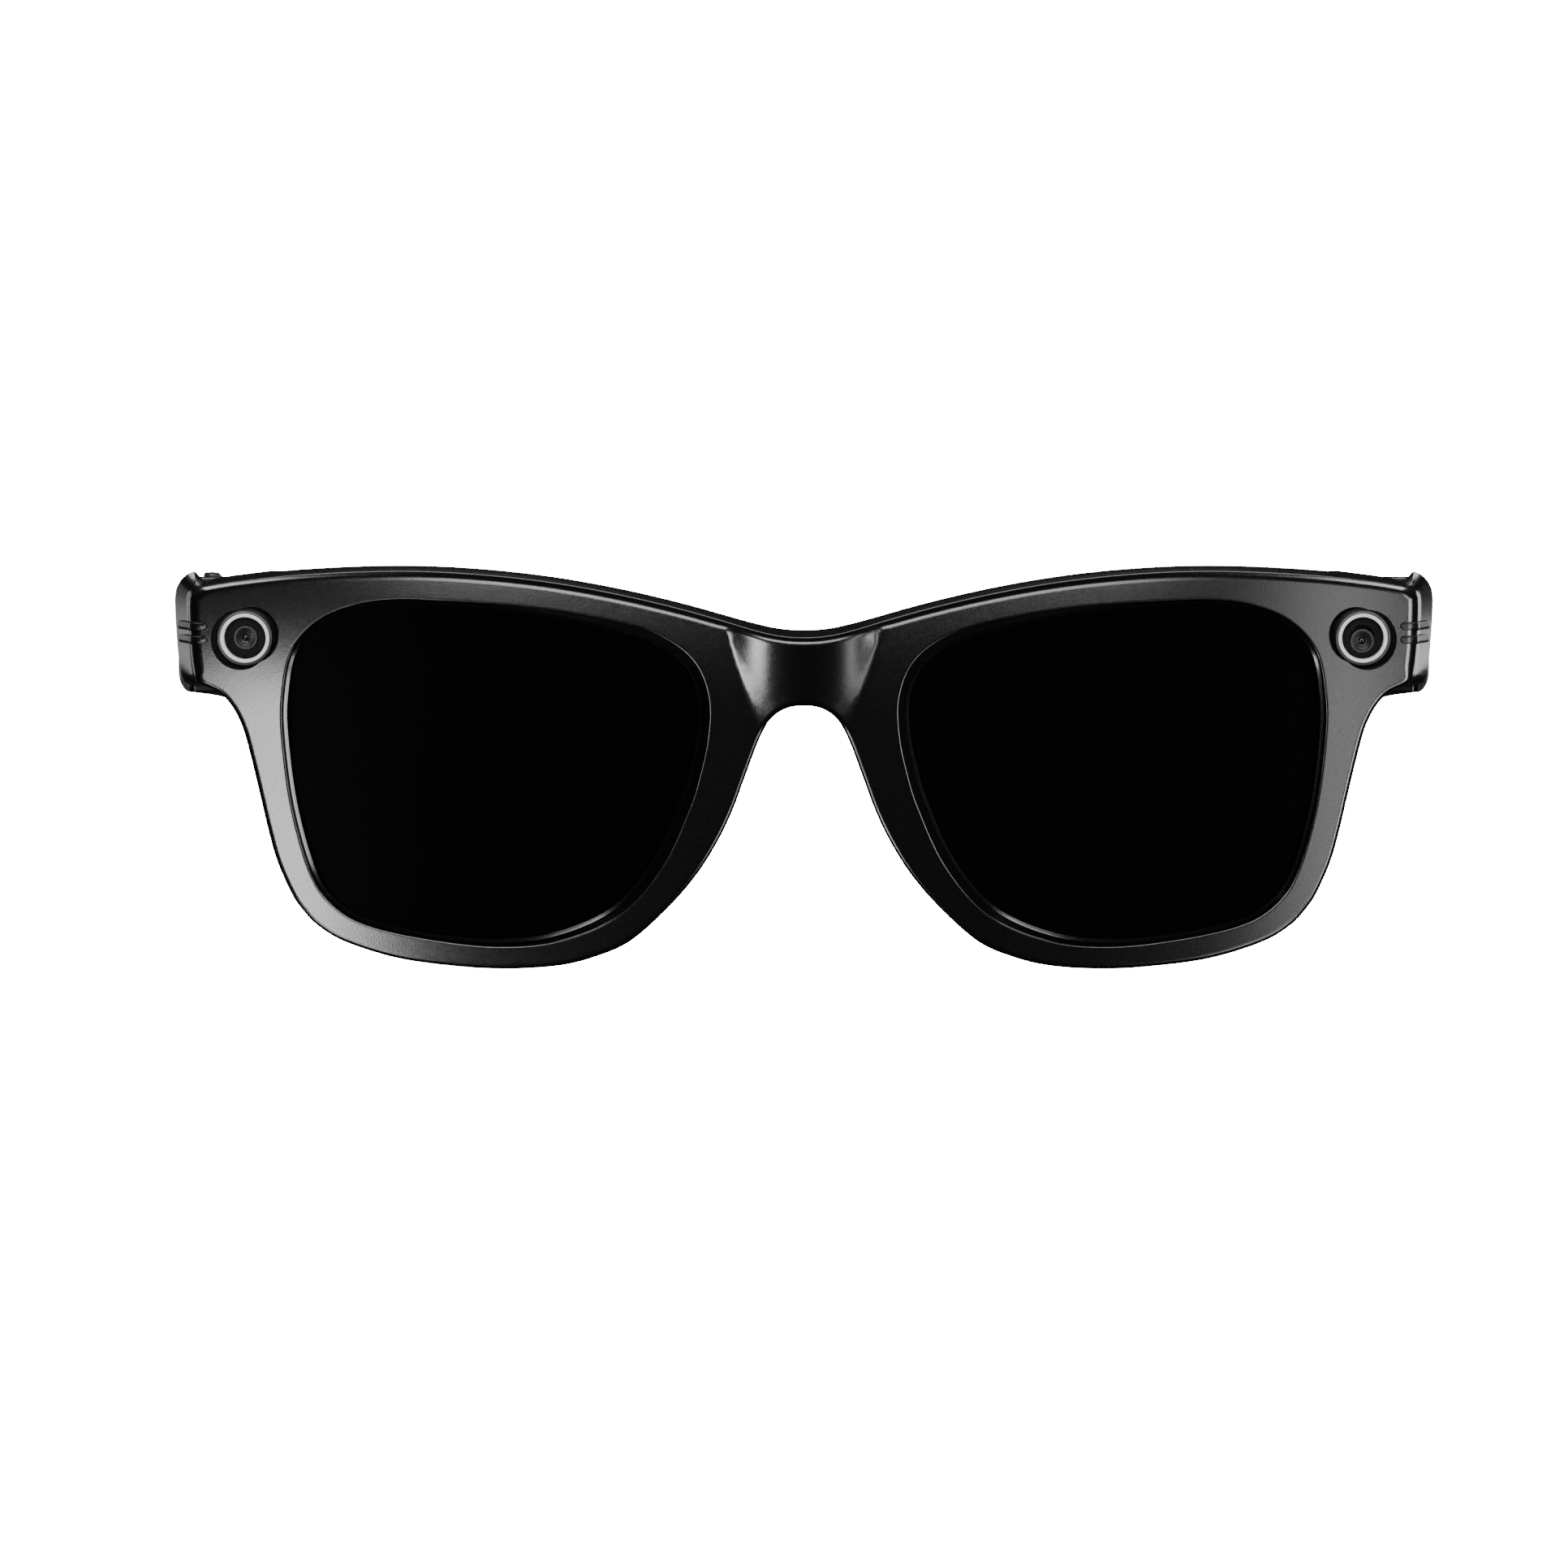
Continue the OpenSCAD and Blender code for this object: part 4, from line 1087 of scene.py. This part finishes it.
CAD_FINISHES = [
    (BOARD_GREEN, 0, ["camera_board_right", "camera_board_left", "main_board", "protection_board"]),
    (STEEL, 0.12, ["hinge_front_leaf_right", "hinge_front_leaf_left"]),
    (STEEL, 0.12, ["hinge_temple_leaf_right", "hinge_temple_leaf_left"]),
    (STEEL, 0.1, ["hinge_pin_right", "hinge_pin_left"]),
    (STEEL, 0.06, ["front_hinge_screws", "temple_hinge_screws_right", "temple_hinge_screws_left"]),
    (FLEX_AMBER, 0, ["front_flex_cable", "touch_sensor"]),
    (FOIL, 0, ["bridge_microphone", "temple_microphone_right", "temple_microphone_left"]),
    (FOIL, 0, ["button_switch", "power_switch"]),
    (FOIL, 0.15, ["shield_can"]),
    (FOIL, 0.3, ["battery_cell"]),
    (BRASS, 0.12, ["charge_contacts"]),
    (CAMERA_BLACK, 0, ["speaker_right", "speaker_left"]),
    (GRILLE, 0, ["speaker_grille_right", "speaker_grille_left"]),
    (RING_WHITE, 0.1, ["status_light"]),
    (BUTTON_PLASTIC, 0.14, ["power_slider"]),
]


def finish_cad_parts():
    """Materials of the CAD parts that are kept, and small bevels on the edges of some."""
    for material, bevel, names in CAD_FINISHES:
        for name in names:
            node = frame["nodes"][name]
            node.data.materials.clear()
            node.data.materials.append(material)
            if bevel:
                weld = node.modifiers.new("weld", "WELD")
                weld.merge_threshold = 0.002 * MM
                ease = node.modifiers.new("ease", "BEVEL")
                ease.width, ease.segments, ease.angle_limit = bevel * MM, 2, math.radians(35)
                ease.limit_method = "ANGLE"


front_frame()
back_cover()
capture_button()
finish_cad_parts()
for side in (RIGHT, LEFT):
    lens(side)
    camera(side)
    trim_pins(side)
    temple(side)

# --- Stage, lights and camera ---

VIEW_WIDTH = 184.0
OFF_CENTRE = 7 / 3
CAMERA_DISTANCE = 600.0
AIM_V = -1.14
SIGHT_DOWN = math.radians(3.7)
SENSOR = 36.0


def make_camera():
    """Looks a little downwards. The view is VIEW_WIDTH wide at the face, which is OFF_CENTRE to its right."""
    data = bpy.data.cameras.new("camera")
    data.sensor_width = SENSOR
    data.lens = SENSOR * CAMERA_DISTANCE / VIEW_WIDTH
    data.shift_x = -OFF_CENTRE / VIEW_WIDTH
    data.clip_start, data.clip_end = 0.01, 20
    camera_object = bpy.data.objects.new("camera", data)
    bpy.context.scene.collection.objects.link(camera_object)
    aim = Vector(placed([(0, 0, AIM_V)])[0])
    way = Vector((0, math.cos(SIGHT_DOWN), -math.sin(SIGHT_DOWN)))
    camera_object.location = aim - way * CAMERA_DISTANCE * MM
    camera_object.rotation_euler = (math.pi / 2 - SIGHT_DOWN, 0, 0)
    bpy.context.scene.camera = camera_object


def glow_material(name):
    """A material with only an output and an emission node."""
    material = bpy.data.materials.new(name)
    material.use_nodes = True
    tree = material.node_tree
    tree.nodes.clear()
    return material, tree, add_node(tree, "ShaderNodeOutputMaterial"), add_node(tree, "ShaderNodeEmission")


def quad(name, corners, material):
    mesh = bpy.data.meshes.new(name)
    mesh.from_pydata(corners, [], [(0, 1, 2, 3)])
    mesh.uv_layers.new(name="plan")
    mesh.uv_layers["plan"].data.foreach_set("uv", [0, 0, 1, 0, 1, 1, 0, 1])
    piece = bpy.data.objects.new(name, mesh)
    mesh.materials.append(material)
    bpy.context.scene.collection.objects.link(piece)
    return piece


def light_panel(name, azimuths, heights, distance, glows, rise=(0, 1), across=(1, 2)):
    """A soft panel on a circle round the object, invisible to the camera. Azimuths run from straight in front
    towards +X, in degrees. The glow changes from glows[0] to glows[1] over the share rise of its height, and
    fades to nothing over the share across of its width, which may end past the panel's edge."""
    material, tree, out, glow = glow_material(name + "_glow")
    place = add_node(tree, "ShaderNodeUVMap", uv_map="plan")
    split = add_node(tree, "ShaderNodeSeparateXYZ")
    tree.links.new(place.outputs["UV"], split.inputs[0])
    product = add_node(tree, "ShaderNodeMath", operation="MULTIPLY")
    tree.links.new(ramp(tree, split.outputs["Y"], rise[0], rise[1], *glows), product.inputs[0])
    tree.links.new(ramp(tree, split.outputs["X"], across[0], across[1], 1, 0), product.inputs[1])
    tree.links.new(product.outputs[0], glow.inputs["Strength"])
    tree.links.new(glow.outputs[0], out.inputs["Surface"])
    ends = []
    for azimuth in azimuths:
        a = math.radians(azimuth)
        ends.append((distance * math.sin(a), -distance * math.cos(a)))
    low, high = ([(x, y, z) for x, y in ends] for z in heights)
    panel = quad(name, low + high[::-1], material)
    panel.visible_camera = False


BACKGROUND = 22.0
ROOM = 0.012
FLOOR_HALF = 6
FLOOR_Z = -0.0005


def stage():
    """A white floor that the camera sees and that takes no part in the lighting."""
    material, tree, out, glow = glow_material("floor_white")
    glow.inputs["Strength"].default_value = BACKGROUND
    pick = add_node(tree, "ShaderNodeMixShader")
    rays = add_node(tree, "ShaderNodeLightPath")
    clear = add_node(tree, "ShaderNodeBsdfTransparent")
    tree.links.new(rays.outputs["Is Camera Ray"], pick.inputs[0])
    tree.links.new(clear.outputs[0], pick.inputs[1])
    tree.links.new(glow.outputs[0], pick.inputs[2])
    tree.links.new(pick.outputs[0], out.inputs["Surface"])
    corners = box_corners(-FLOOR_HALF, FLOOR_HALF, -FLOOR_HALF, FLOOR_HALF)
    quad("floor", [(x, y, FLOOR_Z) for x, y in corners], material)


def world():
    """White all round for the camera, and a dark room for the lighting."""
    w = bpy.data.worlds.new("world")
    bpy.context.scene.world = w
    w.use_nodes = True
    tree = w.node_tree
    ground = tree.nodes["Background"]
    rays = add_node(tree, "ShaderNodeLightPath")
    strength = ramp(tree, rays.outputs["Is Camera Ray"], 0, 1, ROOM, BACKGROUND)
    tree.links.new(strength, ground.inputs["Strength"])
    ground.inputs["Color"].default_value = (1, 1, 1, 1)


make_camera()
stage()
world()
light_panel("panel_left", (-41, -30.5), (-0.2, 0.03), 0.8, (14, 9.5), (0.3, 1))
light_panel("panel_right", (40, 31), (-0.24, 0.3), 0.8, (3.6, 2.6), (0.4, 1), (0.4, 1))
light_panel("panel_right_edge", (50, 64), (-0.24, 0.3), 0.8, (9, 9))
light_panel("panel_bridge_left", (-60, -33), (-0.5, -0.3), 0.8, (8, 8))
light_panel("panel_bridge_right", (60, 33), (-0.5, -0.3), 0.8, (4.5, 4.5))
light_panel("panel_brow", (-27, 24), (0.21, 0.6), 0.8, (7, 7), (0, 1), (0.1, 4.0))
light_panel("panel_behind_left", (-137, -118), (-0.1, 0.4), 1.0, (1.3, 1.3))
light_panel("panel_behind_right", (143, 124), (-0.1, 0.4), 1.0, (3, 3))
light_panel("panel_side_left", (-130, -70), (0.8, 1.4), 0.8, (8, 8))
light_panel("panel_side_right", (70, 130), (0.8, 1.4), 0.8, (8, 8))
light_panel("panel_back", (150, 210), (0.7, 1.3), 0.9, (1.8, 1.8))
